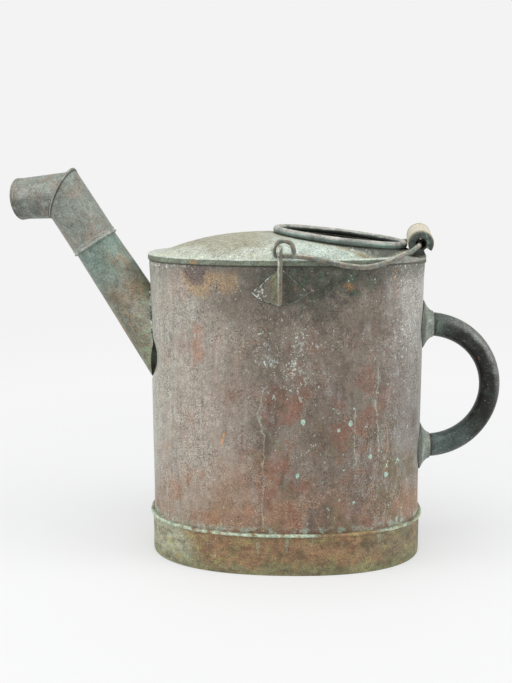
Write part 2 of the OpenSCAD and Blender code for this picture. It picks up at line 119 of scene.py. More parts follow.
class Signal:
    """A node socket that Python's own signs work on. Each sign adds a Math node."""

    def __init__(self, tree, socket):
        self.tree, self.socket = tree, socket

    def node(self, kind, settings, inputs, out=0):
        """Adds one node: its settings first, then a value or a link for each named socket."""
        made = self.tree.nodes.new("ShaderNode" + kind)
        for name, value in settings.items():
            setattr(made, name, value)
        for name, value in inputs.items():
            if isinstance(value, Signal):
                self.tree.links.new(value.socket, made.inputs[name])
            else:
                made.inputs[name].default_value = value
        return Signal(self.tree, made.outputs[out])

    def math(self, operation, a, b=0.0):
        return self.node("Math", {"operation": operation}, {0: a, 1: b})

    def __add__(self, other):
        return self.math("ADD", self, other)

    def __sub__(self, other):
        return self.math("SUBTRACT", self, other)

    def __rsub__(self, other):
        return self.math("SUBTRACT", other, self)

    def __mul__(self, other):
        return self.math("MULTIPLY", self, other)

    def __pow__(self, other):
        return self.math("POWER", self, other)

    def __abs__(self):
        return self.math("ABSOLUTE", self)

    __radd__, __rmul__ = __add__, __mul__

    def most(self, other):
        return self.math("MAXIMUM", self, other)

    def step(self, low, high):
        """0 below low, 1 above high, and smooth between them; low may be the higher one."""
        return self.node("MapRange", {"interpolation_type": "SMOOTHSTEP"},
                         {"Value": self, "From Min": low, "From Max": high})

    def band(self, low, high, soft):
        """1 between low and high, and 0 outside them."""
        return self.step(low - soft, low + soft) * self.step(high + soft, high - soft)

    def tint(self, under, over):
        """Lays the colour over on the colour under, by this mask."""
        return self.node("Mix", {"data_type": "RGBA"}, {0: self, 6: under, 7: over}, 2)

    def shaded(self, colour):
        """The colour made lighter or darker by this brightness."""
        return self.node("VectorMath", {"operation": "SCALE"}, {0: colour, "Scale": self})

    def scaled(self, x, y, z, shift=0.0):
        """This place, stretched and shifted, so that a pattern on it becomes long or flat."""
        return self.node("VectorMath", {"operation": "MULTIPLY_ADD"},
                         {0: self, 1: (x, y, z), 2: (shift, shift, shift)})

    def clouds(self, size, shift=0.0, detail=4.0, rough=0.6):
        """Noise as large as size, as values near 0.5; three sizes make it long or flat."""
        sx, sy, sz = size if isinstance(size, tuple) else (size,) * 3
        place = self.scaled(1 / sx, 1 / sy, 1 / sz, shift)
        return place.node("TexNoise", {}, {"Vector": place, "Scale": 1.0, "Detail": detail,
                                           "Roughness": rough})

    def patches(self, size, low, high, *noise_settings):
        """Patches with soft edges: 0 where the clouds are below low, and 1 above high."""
        return self.clouds(size, *noise_settings).step(low, high)

    def drift(self, size, reach, *noise_settings):
        """Noise round 0 that moves an edge to and fro; reach is the most it could move it."""
        return (self.clouds(size, *noise_settings) - 0.5) * reach

    def near(self, x, y, z, reach, soft=0.5, ragged=0.3):
        """1 at a point and 0 beyond reach, which is one length or one for each axis."""
        rx, ry, rz = reach if isinstance(reach, tuple) else (reach,) * 3
        offset = self.node("VectorMath", {"operation": "SUBTRACT"}, {0: self, 1: (x, y, z)})
        offset = offset.scaled(1 / rx, 1 / ry, 1 / rz)
        length = offset.node("VectorMath", {"operation": "LENGTH"}, {0: offset}, 1)
        return (length + (self.clouds(0.011, 7) - 0.5) * 4 * ragged).step(1, 1 - soft)


def axes(place):
    """The X, Y and Z of a place."""
    return [place.node("SeparateXYZ", {}, {0: place}, k) for k in range(3)]


# %% Coats


class Coats:
    """A finish's colour, built up coat by coat, each one over those before."""

    def __init__(self, *rgb):
        self.colour = shade(*rgb)

    def __call__(self, mask, *rgb):
        self.colour = mask.tint(self.colour, shade(*rgb))


# %% New finishes


def new_finish(name):
    """A new material: the material, its shader, and the place on the object."""
    material = bpy.data.materials.new(name)
    material.use_nodes = True
    tree = material.node_tree
    place = Signal(tree, tree.nodes.new("ShaderNodeTexCoord").outputs["Object"])
    return material, tree.nodes["Principled BSDF"], place


def feed(shader, **sockets):
    """Sets or links the shader's sockets, named with _ for a space."""
    for name, value in sockets.items():
        socket = shader.inputs[name.replace("_", " ")]
        if isinstance(value, Signal):
            value.tree.links.new(value.socket, socket)
        else:
            socket.default_value = value


# %% [markdown]
# ## Light, floor and background
# The can stands on a plain pale floor in soft light. The world gives a plain even light, and
# looks like white paper only to the camera and in reflections. The same paper colour lies
# half over the floor near the can, which keeps its shadow soft, and fades in fully further
# out, so that no horizon shows.
#
# The lamps are large, because a corroded surface looks best where no lamp makes a sharp spot.
# Their strength is set so that a colour renders about as it is written.

# %% Background
bpy.context.scene.view_settings.view_transform = "Standard"
paper = shade(243, 243, 243)


def looked_at(tree):
    """1 where the camera, a reflection or glass sees this shader, and 0 where it lights."""
    rays = tree.nodes.new("ShaderNodeLightPath").outputs
    camera_ray, glossy, through = [Signal(tree, rays[f"Is {kind} Ray"])
                                   for kind in ("Camera", "Glossy", "Transmission")]
    return camera_ray.most(glossy).most(through)


world = bpy.data.worlds.new("studio")
world.use_nodes = True
bpy.context.scene.world = world
room = world.node_tree
even_light = tuple(0.62 * c for c in shade(243, 245, 247))
lit = looked_at(room).tint(even_light, paper)
room.links.new(lit.socket, room.nodes["Background"].inputs["Color"])
print("even light of the room", [round(c, 2) for c in even_light[:3]])

# %% Floor
floor_finish, floor_shader, floor_place = new_finish("pale floor")
feed(floor_shader, Base_Color=shade(228, 228, 228), Roughness=0.9, Specular_IOR_Level=0.1)
floor_tree = floor_finish.node_tree
away = floor_place.node("VectorMath", {"operation": "LENGTH"}, {0: floor_place}, 1)
fade = (away.step(0.22, 0.85) * 0.55 + 0.45) * looked_at(floor_tree)
lit_paper = away.step(0.4, 1.6).tint(shade(248, 248, 248), paper)
glow = away.node("Emission", {}, {"Color": lit_paper, "Strength": 1.0})
floor_mix = away.node("MixShader", {}, {0: fade})
floor_tree.links.new(floor_shader.outputs[0], floor_mix.socket.node.inputs[1])
floor_tree.links.new(glow.socket, floor_mix.socket.node.inputs[2])
floor_tree.links.new(floor_mix.socket, floor_tree.nodes["Material Output"].inputs["Surface"])

bm = bmesh.new()
floor_r, below_can = 30, 0.0002
bmesh.ops.create_circle(bm, cap_ends=True, segments=64, radius=floor_r)
bmesh.ops.translate(bm, verts=bm.verts, vec=(0, 0, -below_can))
floor_mesh = bpy.data.meshes.new("floor")
bm.to_mesh(floor_mesh)
bm.free()
floor_mesh.materials.append(floor_finish)
floor = bpy.data.objects.new("floor", floor_mesh)
bpy.context.scene.collection.objects.link(floor)
print("floor", 2 * floor_r, "m across, with", len(floor_tree.nodes), "nodes")

# %% Lamps
lamps = [("left window", (-1.6, -0.5, 0.9), 1.2, 13),
         ("right window", (1.6, -0.5, 0.9), 1.2, 13),
         ("overhead", (0.0, -0.3, 1.8), 1.4, 14)]
middle_of_can = Vector((0, 0, 0.18))
for name, place, size, watts in lamps:
    light = bpy.data.lights.new(name, "AREA")
    light.shape, light.size, light.energy = "DISK", size, watts
    lamp = bpy.data.objects.new(name, light)
    lamp.location = place
    to_can = middle_of_can - lamp.location
    lamp.rotation_euler = to_can.to_track_quat("-Z", "Y").to_euler()
    bpy.context.scene.collection.objects.link(lamp)
    print(name, watts, "W,", round(to_can.length, 2), "m away")

# %% [markdown]
# ## Sizes
# These are the CAD part's own sizes. The body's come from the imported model, and the others are
# the values that the CAD part was drawn with.

# %% Sizes
mm = 0.001
body_low, body_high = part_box("body_wall")
half_long, half_wide = body_high.x, body_high.y
sheet = 1.0 * mm
body_top = body_high.z + sheet
squareness = 2.29
bead_z, bead_r = 41.8 * mm, 1.8 * mm
ring_r, ring_wire, ring_tilt = 64.5 * mm, 3.55 * mm, math.radians(6.8)
ring_at = Vector((half_long - 21.3 * mm - ring_r * math.cos(ring_tilt), 0, body_top + 15.75 * mm))
print("body", round(half_long / mm, 1), round(half_wide / mm, 1), round(body_top / mm, 1))

# %% [markdown]
# ## The oval
# The can is neither a circle nor a plain ellipse in plan: it is a superellipse, a little
# squarer than an ellipse. Everything that goes round it, such as the foot, the wall and the
# hood, uses the same two functions.

# %% The oval


def power(value, exponent):
    """A power that keeps the sign."""
    return math.copysign(abs(value) ** exponent, value)


def oval(turn, grow=0.0):
    """The point of the oval at an angle, grown outwards by grow."""
    return ((half_long + grow) * power(math.cos(turn), 2 / squareness),
            (half_wide + grow) * power(math.sin(turn), 2 / squareness))


def oval_side(x, grow=0.0):
    """Half the oval's width at a distance x along it."""
    inside = max(0.0, 1 - abs(x / (half_long + grow)) ** squareness)
    return (half_wide + grow) * inside ** (1 / squareness)


def oval_end(y, grow=0.0):
    """Half the oval's length at a distance y across it."""
    inside = max(0.0, 1 - abs(y / (half_wide + grow)) ** squareness)
    return (half_long + grow) * inside ** (1 / squareness)


# %% [markdown]
# ## Turning and shaping
# Nearly every piece of the can is a sheet or a rod that goes round something. So each one is
# made in two moves: `bmesh.ops.spin` turns a chain of points round the Z axis, and a small
# function then carries every vertex from that plain turned shape to its real place. The first
# move gives clean quads all round, and the second one gives ovals, bends, mitres and dents.

# %% Small sums


def polar(radius, turn):
    """The x and y of a point on a circle."""
    return radius * math.cos(turn), radius * math.sin(turn)


def ripple_at(*point):
    """Slow noise, from about -1 to 1, that makes a new shape look old."""
    return noise.noise(Vector(point))


def between(low, high, count):
    """Evenly spaced numbers from low to high."""
    return [low + (high - low) * i / (count - 1) for i in range(count)]


def mixed(a, b, share):
    """The value that lies a share of the way from a to b."""
    return a + (b - a) * share


def smooth(low, high, value):
    """0 below low, 1 above high, smooth between."""
    share = min(1.0, max(0.0, (value - low) / (high - low)))
    return share * share * (3 - 2 * share)


# %% Turning and shaping


def turned(chain, steps, closed=True):
    """A bmesh turned round Z from a chain of (radius, height) points."""
    bm = bmesh.new()
    verts = [bm.verts.new((r, 0, z)) for r, z in chain]
    edges = [bm.edges.new(pair) for pair in zip(verts, verts[1:])]
    if closed:
        edges.append(bm.edges.new((verts[-1], verts[0])))
    bmesh.ops.spin(bm, geom=verts + edges, cent=(0, 0, 0), axis=(0, 0, 1), angle=math.tau,
                   steps=steps, use_merge=True)
    return bm


def shaped(bm, place):
    """Moves every vertex to place(angle, radius, height)."""
    for v in bm.verts:
        v.co = place(math.atan2(v.co.y, v.co.x), math.hypot(v.co.x, v.co.y), v.co.z)
    return bm


# %% Finishing a piece


def finished(bm, name, body, slot, finish, *nodes, crease=32):
    """Makes a bmesh a piece that rides on a body, and hides the CAD nodes that it takes the place
    of.
    """
    bmesh.ops.remove_doubles(bm, verts=bm.verts, dist=1e-6)
    bmesh.ops.recalc_face_normals(bm, faces=bm.faces)
    mesh = bpy.data.meshes.new(name)
    bm.to_mesh(mesh)
    bm.free()
    mesh.materials.append(finish)
    mesh.shade_smooth()
    mesh.set_sharp_from_angle(angle=math.radians(crease))
    piece = bpy.data.objects.new(name, mesh)
    bpy.context.scene.collection.objects.link(piece)
    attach(piece, body)
    if nodes:
        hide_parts(*nodes)
    print(f"{name}: {sum(len(p.vertices) - 2 for p in mesh.polygons)} triangles")
    return piece


# %% [markdown]
# ## The skin of old copper
# Copper that stands outside turns brown first. Then rain and soil turn it green and nearly
# white, in spots that grow into a crust, and water carries both colours down the wall. So
# every finish here is made of the same few things: a fine grain in the brown, soft clouds of
# other browns and greys, spots of crust, and runs. Only the crust stands out of the surface,
# and only the bare brown still shines like metal.

# %% Patina helpers
grain_size, mottle_size, crust_height = 1.5 * mm, 7 * mm, 0.14 * mm
spot_edge = (0.72, 0.76)  # a narrow step, so that a spot of crust has a crisp edge


def grain(place, fine=2.0, broad=0.8):
    """The fine unevenness of a corroded surface, as a brightness near 1."""
    return place.drift(grain_size, fine, 0, 2, 0.8) + place.drift(mottle_size, broad, 3, 3) + 1.0


def crust(place, size, cover, shift=0.0):
    """Spots of verdigris: 1 on a spot. cover goes from 0 (none) to 1 (half of the surface)."""
    return (place.clouds(size, shift, 4, 0.65) + cover * 0.24).step(*spot_edge)


def water_run(place, across, top, bottom, width, shift=0.0):
    """A stain that ran down the wall from top to bottom, at a place across it."""
    x, _, z = axes(place)
    wander = place.drift((0.02, 0.02, 0.03), 0.02, shift, 3)
    ragged = place.patches(0.004, 0.3, 0.55, shift, 3, 0.7)
    return abs(x + wander - across).step(width, 0.3 * width) * z.band(bottom, top, 0.004) * ragged


def lay_on(shader, coat, skin, height, rough, metal):
    """Feeds a patina: its coats darkened by the skin's grain, and the relief as bump."""
    relief = height.node("Bump", {}, {"Height": height, "Distance": crust_height,
                                      "Strength": 1.0})
    feed(shader, Base_Color=skin.shaded(coat.colour), Roughness=rough, Metallic=metal,
         Normal=relief)
    print("a finish of", len(skin.tree.nodes), "nodes")


# %% [markdown]
# ## Finish of the body
# The wall is brown in the middle, grey and streaked at both ends, and redder near the foot,
# where it stood in wet grass. Under the lug is a dark green-black zone, and below it a crowd
# of small mint flecks. A ring-shaped ochre stain with a purple middle hangs under the rim near
# the spout. The places are given in metres on the can, so each stain is where it belongs, and
# noise breaks up its edge. `xd` and `zd` are x and z with that noise already in them.
#
# Every finish is written in the same order: a mask, then the coat that it lays on. Where a
# mask is multiplied by a number, that is how thickly the coat lies.

# %% Body patina
body_patina, shader, place = new_finish("body patina")
x, y, z = axes(place)
xd = x + place.drift(0.045, 0.10, 5)
zd = z + place.drift(0.05, 0.14, 9)

spout_end, handle_end = xd.step(-0.045, -0.095), xd.step(0.08, 0.118)
coat = Coats(130, 120, 108)
coat(spout_end, 158, 152, 141)
coat(handle_end, 139, 133, 127)
pink = place.patches((0.03, 0.03, 0.05), 0.46, 0.6, 13) * xd.step(-0.02, -0.05)
coat(pink * 0.55, 158, 136, 122)
streaks = place.clouds((0.005, 0.005, 0.045), 2, 5, 0.75)
coat(streaks.step(0.52, 0.68) * spout_end * 0.6, 180, 183, 175)
coat(streaks.step(0.48, 0.34) * (0.15 + spout_end * 0.35), 126, 118, 104)
pale_side = xd.band(-0.1, -0.03, 0.03) * zd.step(0.25, 0.17)
coat(pale_side * 0.4, 186, 172, 158)
foot_red = zd.step(0.13, 0.055) * (0.3 + x.step(-0.115, -0.05) * 0.7)
coat(foot_red * 0.8, 150, 117, 91)
ruddy = place.patches((0.02, 0.02, 0.026), 0.5, 0.62, 19, 5, 0.7) * xd.step(0.0, -0.03)
ruddy = ruddy * zd.step(0.17, 0.1)
coat(ruddy * 0.55, 160, 116, 92)
raw = place.patches(0.034, 0.47, 0.6, 11, 5, 0.65) * xd.band(-0.035, 0.1, 0.02)
raw = raw * zd.step(0.26, 0.19)
coat(raw * 0.85, 137, 96, 78)
deep = place.near(0.036, 0.0, 0.16, (0.034, 1.0, 0.12), 0.9, 0.3)
deep = deep * (0.6 + place.patches(0.018, 0.4, 0.6, 93, 5, 0.7) * 0.4)
coat(deep * 0.5, 98, 74, 64)
plum = place.patches((0.022, 0.022, 0.05), 0.54, 0.66, 23, 5, 0.65) * xd.band(-0.04, 0.09, 0.02)
coat(plum * 0.75, 98, 80, 72)
olive = place.patches(0.04, 0.5, 0.62, 29, 5) * zd.step(0.19, 0.1)
olive = olive * (0.3 + xd.step(-0.05, 0.0) * 0.7)
coat(olive * 0.7, 112, 102, 76)
brown = place.patches((0.03, 0.03, 0.04), 0.5, 0.6, 33, 5, 0.65) * xd.band(-0.03, 0.12, 0.02)
coat(brown * 0.6, 100, 88, 76)
bloom = place.patches((0.012, 0.012, 0.028), 0.5, 0.66, 17, 5, 0.7)
coat(bloom * (0.3 + xd.step(0.02, 0.1) * 0.25), 158, 157, 150)
tide = abs(place.clouds((0.016, 0.016, 0.05), 31, 3, 0.5) - 0.5).step(0.012, 0.003)
coat(tide * xd.step(0.05, 0.08) * zd.step(0.2, 0.15) * 0.5, 165, 163, 158)
dull = xd.band(0.045, 0.115, 0.02)
coat(dull * 0.28, 112, 100, 90)
# Partly painted highlight: the upper right end is paler, partly its own grey and partly painted
# light at the edge.
grey_and_lit_right_end = x.step(0.1, 0.125) * z.step(0.19, 0.25)
coat(grey_and_lit_right_end * 0.45, 184, 184, 176)

# %% Stains of the body
grey_top = place.near(-0.012, 0.0, 0.292, (0.07, 1.0, 0.06), 0.8, 0.3)
coat(grey_top * 0.55, 92, 88, 78)
under_lug = place.near(0.036, 0.0, 0.302, (0.075, 1.0, 0.042), 0.7, 0.35)
coat(under_lug * 0.9, 62, 64, 54)
below = place.near(0.037, 0.0, 0.268, (0.024, 1.0, 0.034), 0.8, 0.35)
coat(below * 0.6, 66, 64, 54)
# Painted shade: the wall is darker just under the hood's rim, where its shadow falls.
shade_under_rim = z.step(0.284, 0.3035) * (0.4 + xd.step(-0.05, 0.0) * 0.3)
coat(shade_under_rim, 86, 85, 76)
blots = place.clouds(0.009, 103, 5, 0.7)
coat(blots.step(0.5, 0.6) * under_lug * 0.6, 42, 46, 36)
coat(blots.step(0.45, 0.36) * under_lug * 0.35, 120, 118, 104)
green_hint = place.patches(0.012, 0.52, 0.64, 41) * under_lug
coat(green_hint * 0.55, 80, 108, 84)

ochre = place.near(-0.082, -0.071, 0.300, (0.021, 0.04, 0.026), 0.3, 0.2)
ochre = ochre.most(place.near(-0.055, -0.078, 0.296, (0.014, 0.04, 0.019), 0.4, 0.2) * 0.8)
ochre = ochre * (0.55 + place.patches(0.006, 0.4, 0.56, 2, 5, 0.75) * 0.45) * z.step(0.306, 0.296)
coat(ochre * 0.8, 168, 142, 108)
plum_spot = place.near(-0.086, -0.071, 0.302, (0.0135, 0.04, 0.018), 0.5, 0.3)
coat(plum_spot * 0.9, 104, 92, 88)
salmon = water_run(place, -0.086, 0.252, 0.212, 0.007, 3)
coat(salmon * 0.55, 170, 124, 102)
rust = water_run(place, 0.1055, 0.303, 0.276, 0.0014, 5)
rust = rust.most(water_run(place, 0.1, 0.155, 0.098, 0.002, 6) * 0.8)
rust = rust.most(place.near(0.06, -0.077, 0.2885, (0.009, 0.03, 0.004), 0.9, 0.8))
rust = rust.most(place.near(-0.068, -0.076, 0.056, (0.011, 0.03, 0.014), 0.7, 0.4) * 0.7)
rust = rust.most(crust(place, 0.006, 0.25, 47) * 0.7)
rust = rust * place.patches(0.0022, 0.36, 0.52, 4, 3, 0.7)
coat(rust * 0.6, 168, 118, 74)
scratch = abs(x + 0.0605 - (z - 0.139) * 0.22).step(0.0011, 0.0005)
scratch = scratch * z.band(0.1325, 0.1455, 0.0015)
coat(scratch * y.step(0.0, -0.01), 206, 156, 112)

# %% Crust of the body
crowd = place.near(0.0, 0.0, 0.216, (0.052, 1.0, 0.07), 0.8, 0.3)
crowd = crowd * (0.35 + place.patches(0.013, 0.42, 0.58, 63, 4, 0.65) * 0.65)
drips = water_run(place, -0.022, 0.19, 0.05, 0.0011, 73)
drips = drips.most(water_run(place, 0.068, 0.17, 0.11, 0.0010, 79))
drips = drips.most(water_run(place, 0.09, 0.21, 0.12, 0.0012, 83))
coat(drips * 0.62, 168, 172, 156)
few = 0.16 + place.patches(0.03, 0.45, 0.62, 51, 3) * 0.22
smears = crust(place, (0.0055, 0.0055, 0.0085), 0.1 + crowd * 0.75, 91)
smears = smears * place.patches((0.0012, 0.0012, 0.002), 0.36, 0.52, 7, 3, 0.7)
coat(smears * 0.66, 184, 194, 188)
dust = crust(place, 0.0055, 0.1 + crowd * 0.75, 57) * place.patches(0.0015, 0.4, 0.6, 3, 2)
coat(dust * 0.55, 168, 176, 164)
flecks = crust(place, (0.0026, 0.0026, 0.0034), few + crowd * 0.4, 53)
coat(flecks * 0.8, 196, 204, 193)
many = 0.14 + xd.step(0.0, 0.05) * zd.step(0.24, 0.16) * 0.2
mint = crust(place, (0.006, 0.006, 0.009), many, 59)
near_foot = z.step(0.052, 0.046) * place.patches(0.008, 0.45, 0.6, 61, 3)
mint = mint.most(near_foot * 0.45)
big_drops = ((0.017, 0.157), (0.063, 0.155), (0.0835, 0.12), (0.1, 0.099), (0.012, 0.103))
for drop_x, drop_z in big_drops:
    mint = mint.most(place.near(drop_x, -0.08, drop_z, (0.0024, 0.04, 0.0034), 0.4, 0.6))
coat(mint * 0.9, 172, 202, 186)
pale_end = x.step(-0.118, -0.136) * z.step(0.06, 0.12)
coat(pale_end * 0.4, 192, 196, 188)
lime = crust(place, 0.0032, 0.55, 97) * x.step(0.085, 0.118) * z.step(0.15, 0.24)
coat(lime * 0.65, 204, 207, 199)
pits = crust(place, 0.003, 0.24, 67)
coat(pits * 0.75, 78, 66, 60)
lap_line = x.step(0.122, 0.131) * y.band(-0.0295, -0.0275, 0.0006)
lap_line = lap_line * place.patches((0.004, 0.004, 0.012), 0.4, 0.6, 77, 4, 0.7)
coat(lap_line * 0.55, 186, 190, 168)
shadow_line = z.step(0.3055, 0.3075)
coat(shadow_line * 0.85, 60, 60, 52)
specks = crust(place, 0.0025, 0.62, 71) * z.band(0.301, 0.306, 0.002) * xd.step(-0.06, -0.1)
coat(specks * 0.9, 222, 224, 216)

dry = flecks.most(mint).most(specks)
rain = place.clouds((0.0035, 0.0035, 0.045), 95, 4, 0.7)
rough_skin = place.patches(0.028, 0.4, 0.6, 99).most(crowd)
skin = grain(place, 1.6) + (rain - 0.5) * 0.5
skin = skin + place.drift(1.5 * mm, rough_skin, 0, 2, 0.8) * 1.5
height = skin * 0.4 + dry * 0.8 - pits * 1.5
lay_on(shader, coat, skin, height, 0.52 + dry * 0.35 + spout_end * 0.06, 0.28 - dry * 0.28)

# %% [markdown]
# ## Body wall
# The wall is one strip of copper bent into the oval and lapped at the handle end, where its
# raised edge shows as a line. It is turned as a tall double-walled tube, and each vertex then
# goes to the oval. Noise and a few soft dents press the old sheet in, because a true oval
# would look new. The hole for the spout is cut last, as a maker would.

# %% Dents of the old sheet
# Each soft dent is a place, a reach and a depth, all in millimetres.
soft_dents = [((100, -62, 255), 26, 0.9), ((-60, -78, 120), 40, 0.8), ((60, -78, 90), 34, 0.7),
              ((10, 83, 180), 45, 1.2), ((-90, 66, 230), 30, 1.0), ((90, 66, 110), 34, 1.0)]
press_depth, rim_depth, spout_depth = 0.9 * mm, 3 * mm, 4.4 * mm


def dent_at_spout(y, z):
    """The wall is pushed in where the solder under the spout has let go."""
    height = (z - 206.0 * mm) / (23 * mm)
    if abs(height) >= 1:
        return 0.0
    return spout_depth * (1 - height * height) * math.exp(-((y + 20 * mm) / (22 * mm)) ** 2)


def rim_dent(x, y):
    """The roller has pressed the rim down under its near end."""
    off_x, off_y = (x - half_long) / (22 * mm), (y + 25 * mm) / (28 * mm)
    return rim_depth * math.exp(-off_x ** 2 - off_y ** 2)


def wall_press(x, y, z):
    """How far the old sheet has been pushed in from a true oval."""
    quiet = smooth(0.044, 0.075, z) * (1 - smooth(0.285, 0.303, z))
    ripple = 0.5 + 0.5 * ripple_at(x * 14, y * 14, z * 9)
    press = press_depth * ripple * quiet
    for at, reach, depth in soft_dents:
        off = (Vector((x, y, z)) - Vector(at) * mm).length / (reach * mm)
        if off < 1:
            press += depth * mm * (1 - off * off) ** 2 * quiet
    return press + (dent_at_spout(y, z) if x < -0.1 else 0.0)


# %% Body wall
lap_edges, lap_rise = (-16.7, -25.7), 0.6 * mm
lap_low, lap_high = bead_z + 2.9 * mm, body_top - 10.1 * mm


def wall_point(turn, radius, z):
    """radius is 1 on the outside of the sheet, and less on its inside."""
    degrees = math.degrees(turn)
    for edge in lap_edges:  # two lines of vertices close in on each edge, so that it is crisp
        if abs(degrees - edge) < 0.75:
            degrees = edge + (0.06 if degrees > edge else -0.06)
    turn = math.radians(degrees)
    x, y = oval(turn)
    grow = radius - 1 - wall_press(x, y, z)
    in_lap = lap_edges[1] < degrees < lap_edges[0] and lap_low < z < lap_high
    if in_lap and radius > 1 - 0.1 * mm:
        grow += lap_rise
    x, y = oval(turn, grow)
    return Vector((x, y, z - rim_dent(x, y) * smooth(0.295, 0.31, z)))


crisp = 0.1 * mm
heights = between(body_low.z, bead_z, 5) + [lap_low - crisp, lap_low + crisp]
heights += between(0.05, 0.301, 58) + [lap_high - crisp, lap_high + crisp]
heights += [0.3065, body_high.z]
wall = [(1.0, z) for z in heights] + [(1.0 - sheet, z) for z in reversed(heights)]
bm = shaped(turned(wall, 264), wall_point)

# %% Carving


def carved(bm, cutter):
    """Cuts one bmesh out of another."""
    objects = []
    for source in (bm, cutter):
        bmesh.ops.remove_doubles(source, verts=source.verts, dist=1e-6)
        bmesh.ops.recalc_face_normals(source, faces=source.faces)
        mesh = bpy.data.meshes.new("carving")
        source.to_mesh(mesh)
        source.free()
        objects.append(bpy.data.objects.new("carving", mesh))
        bpy.context.scene.collection.objects.link(objects[-1])
    cut = objects[0].modifiers.new("cut", "BOOLEAN")
    cut.operation, cut.solver, cut.object = "DIFFERENCE", "EXACT", objects[1]
    bpy.context.view_layer.update()
    result = bmesh.new()
    result.from_mesh(objects[0].evaluated_get(bpy.context.evaluated_depsgraph_get()).to_mesh())
    for o in objects:
        mesh = o.data
        bpy.data.objects.remove(o)
        bpy.data.meshes.remove(mesh)
    return result


# %% Hole for the spout
spout_lean, spout_z = math.radians(57.9), 233.5 * mm
spout_frame = (Matrix.Translation((-half_long, 0, spout_z))
               @ Matrix.Rotation(spout_lean - math.pi / 2, 4, "Y"))
hole = bmesh.new()
bmesh.ops.create_cone(hole, cap_ends=True, segments=64, radius1=24.6 * mm, radius2=23.6 * mm,
                      depth=0.1, matrix=spout_frame)
bm = carved(bm, hole)
finished(bm, "wall", "can", "body_patina", body_patina, "body_wall")

# %% [markdown]
# ## Foot band
# The foot is a second strip of sheet round the bottom of the body. Its upper edge is rolled
# over a wire, which stiffens it and leaves a round bead. It is the dirtiest piece: red-brown
# and olive, yellow-green where it touched the ground, and bright mint along half of the bead,
# where water stayed in the corner.
#
# Its section is a chain of points, with an arc for the bead, and one spin takes it round.

# %% Foot patina
foot_patina, shader, place = new_finish("foot patina")
x, y, z = axes(place)
xd = x + place.drift(0.035, 0.08, 5)
coat = Coats(150, 118, 88)
coat(place.patches((0.03, 0.03, 0.02), 0.42, 0.6, 3, 5, 0.65), 122, 108, 76)
coat(place.patches((0.02, 0.02, 0.008), 0.5, 0.62, 8, 5, 0.65) * 0.6, 118, 86, 66)
mottle = place.clouds(0.007, 11, 5, 0.75)
coat(mottle.step(0.5, 0.62) * 0.5, 142, 130, 88)
coat(mottle.step(0.46, 0.36) * 0.5, 104, 84, 60)
coat(xd.step(-0.075, -0.122) * (0.6 + mottle.step(0.4, 0.56) * 0.3), 166, 169, 145)
coat(xd.step(0.07, 0.115) * 0.7, 118, 114, 92)
ground = (z + place.drift(0.02, 0.03, 13)).step(0.016, 0.004)
coat(ground * 0.7, 126, 130, 96)
drips = place.patches((0.005, 0.005, 0.03), 0.56, 0.66, 21, 4, 0.65) * z.step(0.018, 0.036)
coat(drips * 0.5, 160, 176, 152)
ochre = place.patches(0.014, 0.6, 0.68, 27)
coat(ochre * 0.5, 170, 128, 74)
crest = (z + place.drift(0.005, 0.003, 33, 3)).band(0.0410, 0.0437, 0.0006)
lively = xd.step(0.03, 0.005).most(xd.step(0.085, 0.105) * 0.75).most(y.step(0.0, 0.03) * 0.6)
mint = crest * lively * place.patches((0.012, 0.012, 0.006), 0.34, 0.48, 37)
coat(mint * 0.85, 186, 204, 182)
gap_line = z.step(0.0434, 0.0441)
coat(gap_line * 0.7, 76, 72, 60)
spots = crust(place, 0.005, 0.2 + xd.step(-0.05, -0.1) * 0.25, 43)
coat(spots * 0.7, 176, 192, 170)

earth = place.clouds((0.024, 0.024, 0.012), 51, 5, 0.65)
coat(earth.step(0.52, 0.62) * 0.55, 92, 78, 58)
lichen = earth.step(0.46, 0.38) * place.patches(0.005, 0.42, 0.56, 53, 4, 0.75)
coat(lichen * 0.6 * (1 - mint), 158, 152, 96)
skin = grain(place, 2.2, 1.1)
dry = mint.most(spots)
lay_on(shader, coat, skin, skin * 0.5 + dry * 0.8, 0.58 + dry * 0.3, 0.22 - dry * 0.2)

# %% Foot band
foot_t = 1.5 * mm


def foot_point(turn, radius, z):
    """radius is 1 + how far the point stands out from the wall."""
    x, y = oval(turn)
    ripple = 0.25 * mm * ripple_at(x * 20, y * 20, z * 15)
    low = smooth(bead_z - 5 * mm, 0.006, z)
    press = min(0.0, ripple - 0.1 * mm) * (1 - low) * smooth(0, 0.006, z)
    x, y = oval(turn, radius - 1 + press)
    return Vector((x, y, z))


bead_mid, bead_end = foot_t + 0.45 * bead_r, bead_z + bead_r
foot = [(1.0, 0.0), (1 + foot_t - 0.4 * mm, 0.0), (1 + foot_t - 0.05 * mm, 0.5 * mm)]
foot += [(1 + foot_t, z) for z in between(2 * mm, bead_z - 2.8 * mm, 14)]
foot += [(1 + bead_mid + 0.95 * bead_r * math.cos(q), bead_z + bead_r * math.sin(q))
         for q in between(math.radians(-82), math.radians(100), 13)]
foot += [(1 + 0.5 * mm, bead_end + 0.1 * mm), (1.0, bead_end - 0.3 * mm)]
bm = shaped(turned(foot, 256), foot_point)
finished(bm, "foot", "can", "foot_patina", foot_patina, "foot_band")

# %% [markdown]
# ## Bottom plate
# The bottom is a flat sheet with its edge turned down inside the foot, recessed so that only
# the foot's edge touches the ground. It is hardly seen, but the can is picked up and tipped,
# so it is made like the rest, with a slight crown.

# %% Bottom plate
lift = 13 * mm


def plate_point(turn, radius, z):
    """A radius up to 1 is a share of the way out; near 2 it is a distance from the wall."""
    if radius > 1:
        x, y = oval(turn, radius - 2)
        return Vector((x, y, z))
    x, y = oval(turn, -1.2 * sheet)
    crown = 1.5 * mm * (1 - radius ** 2)
    return Vector((x * radius, y * radius, z + crown))


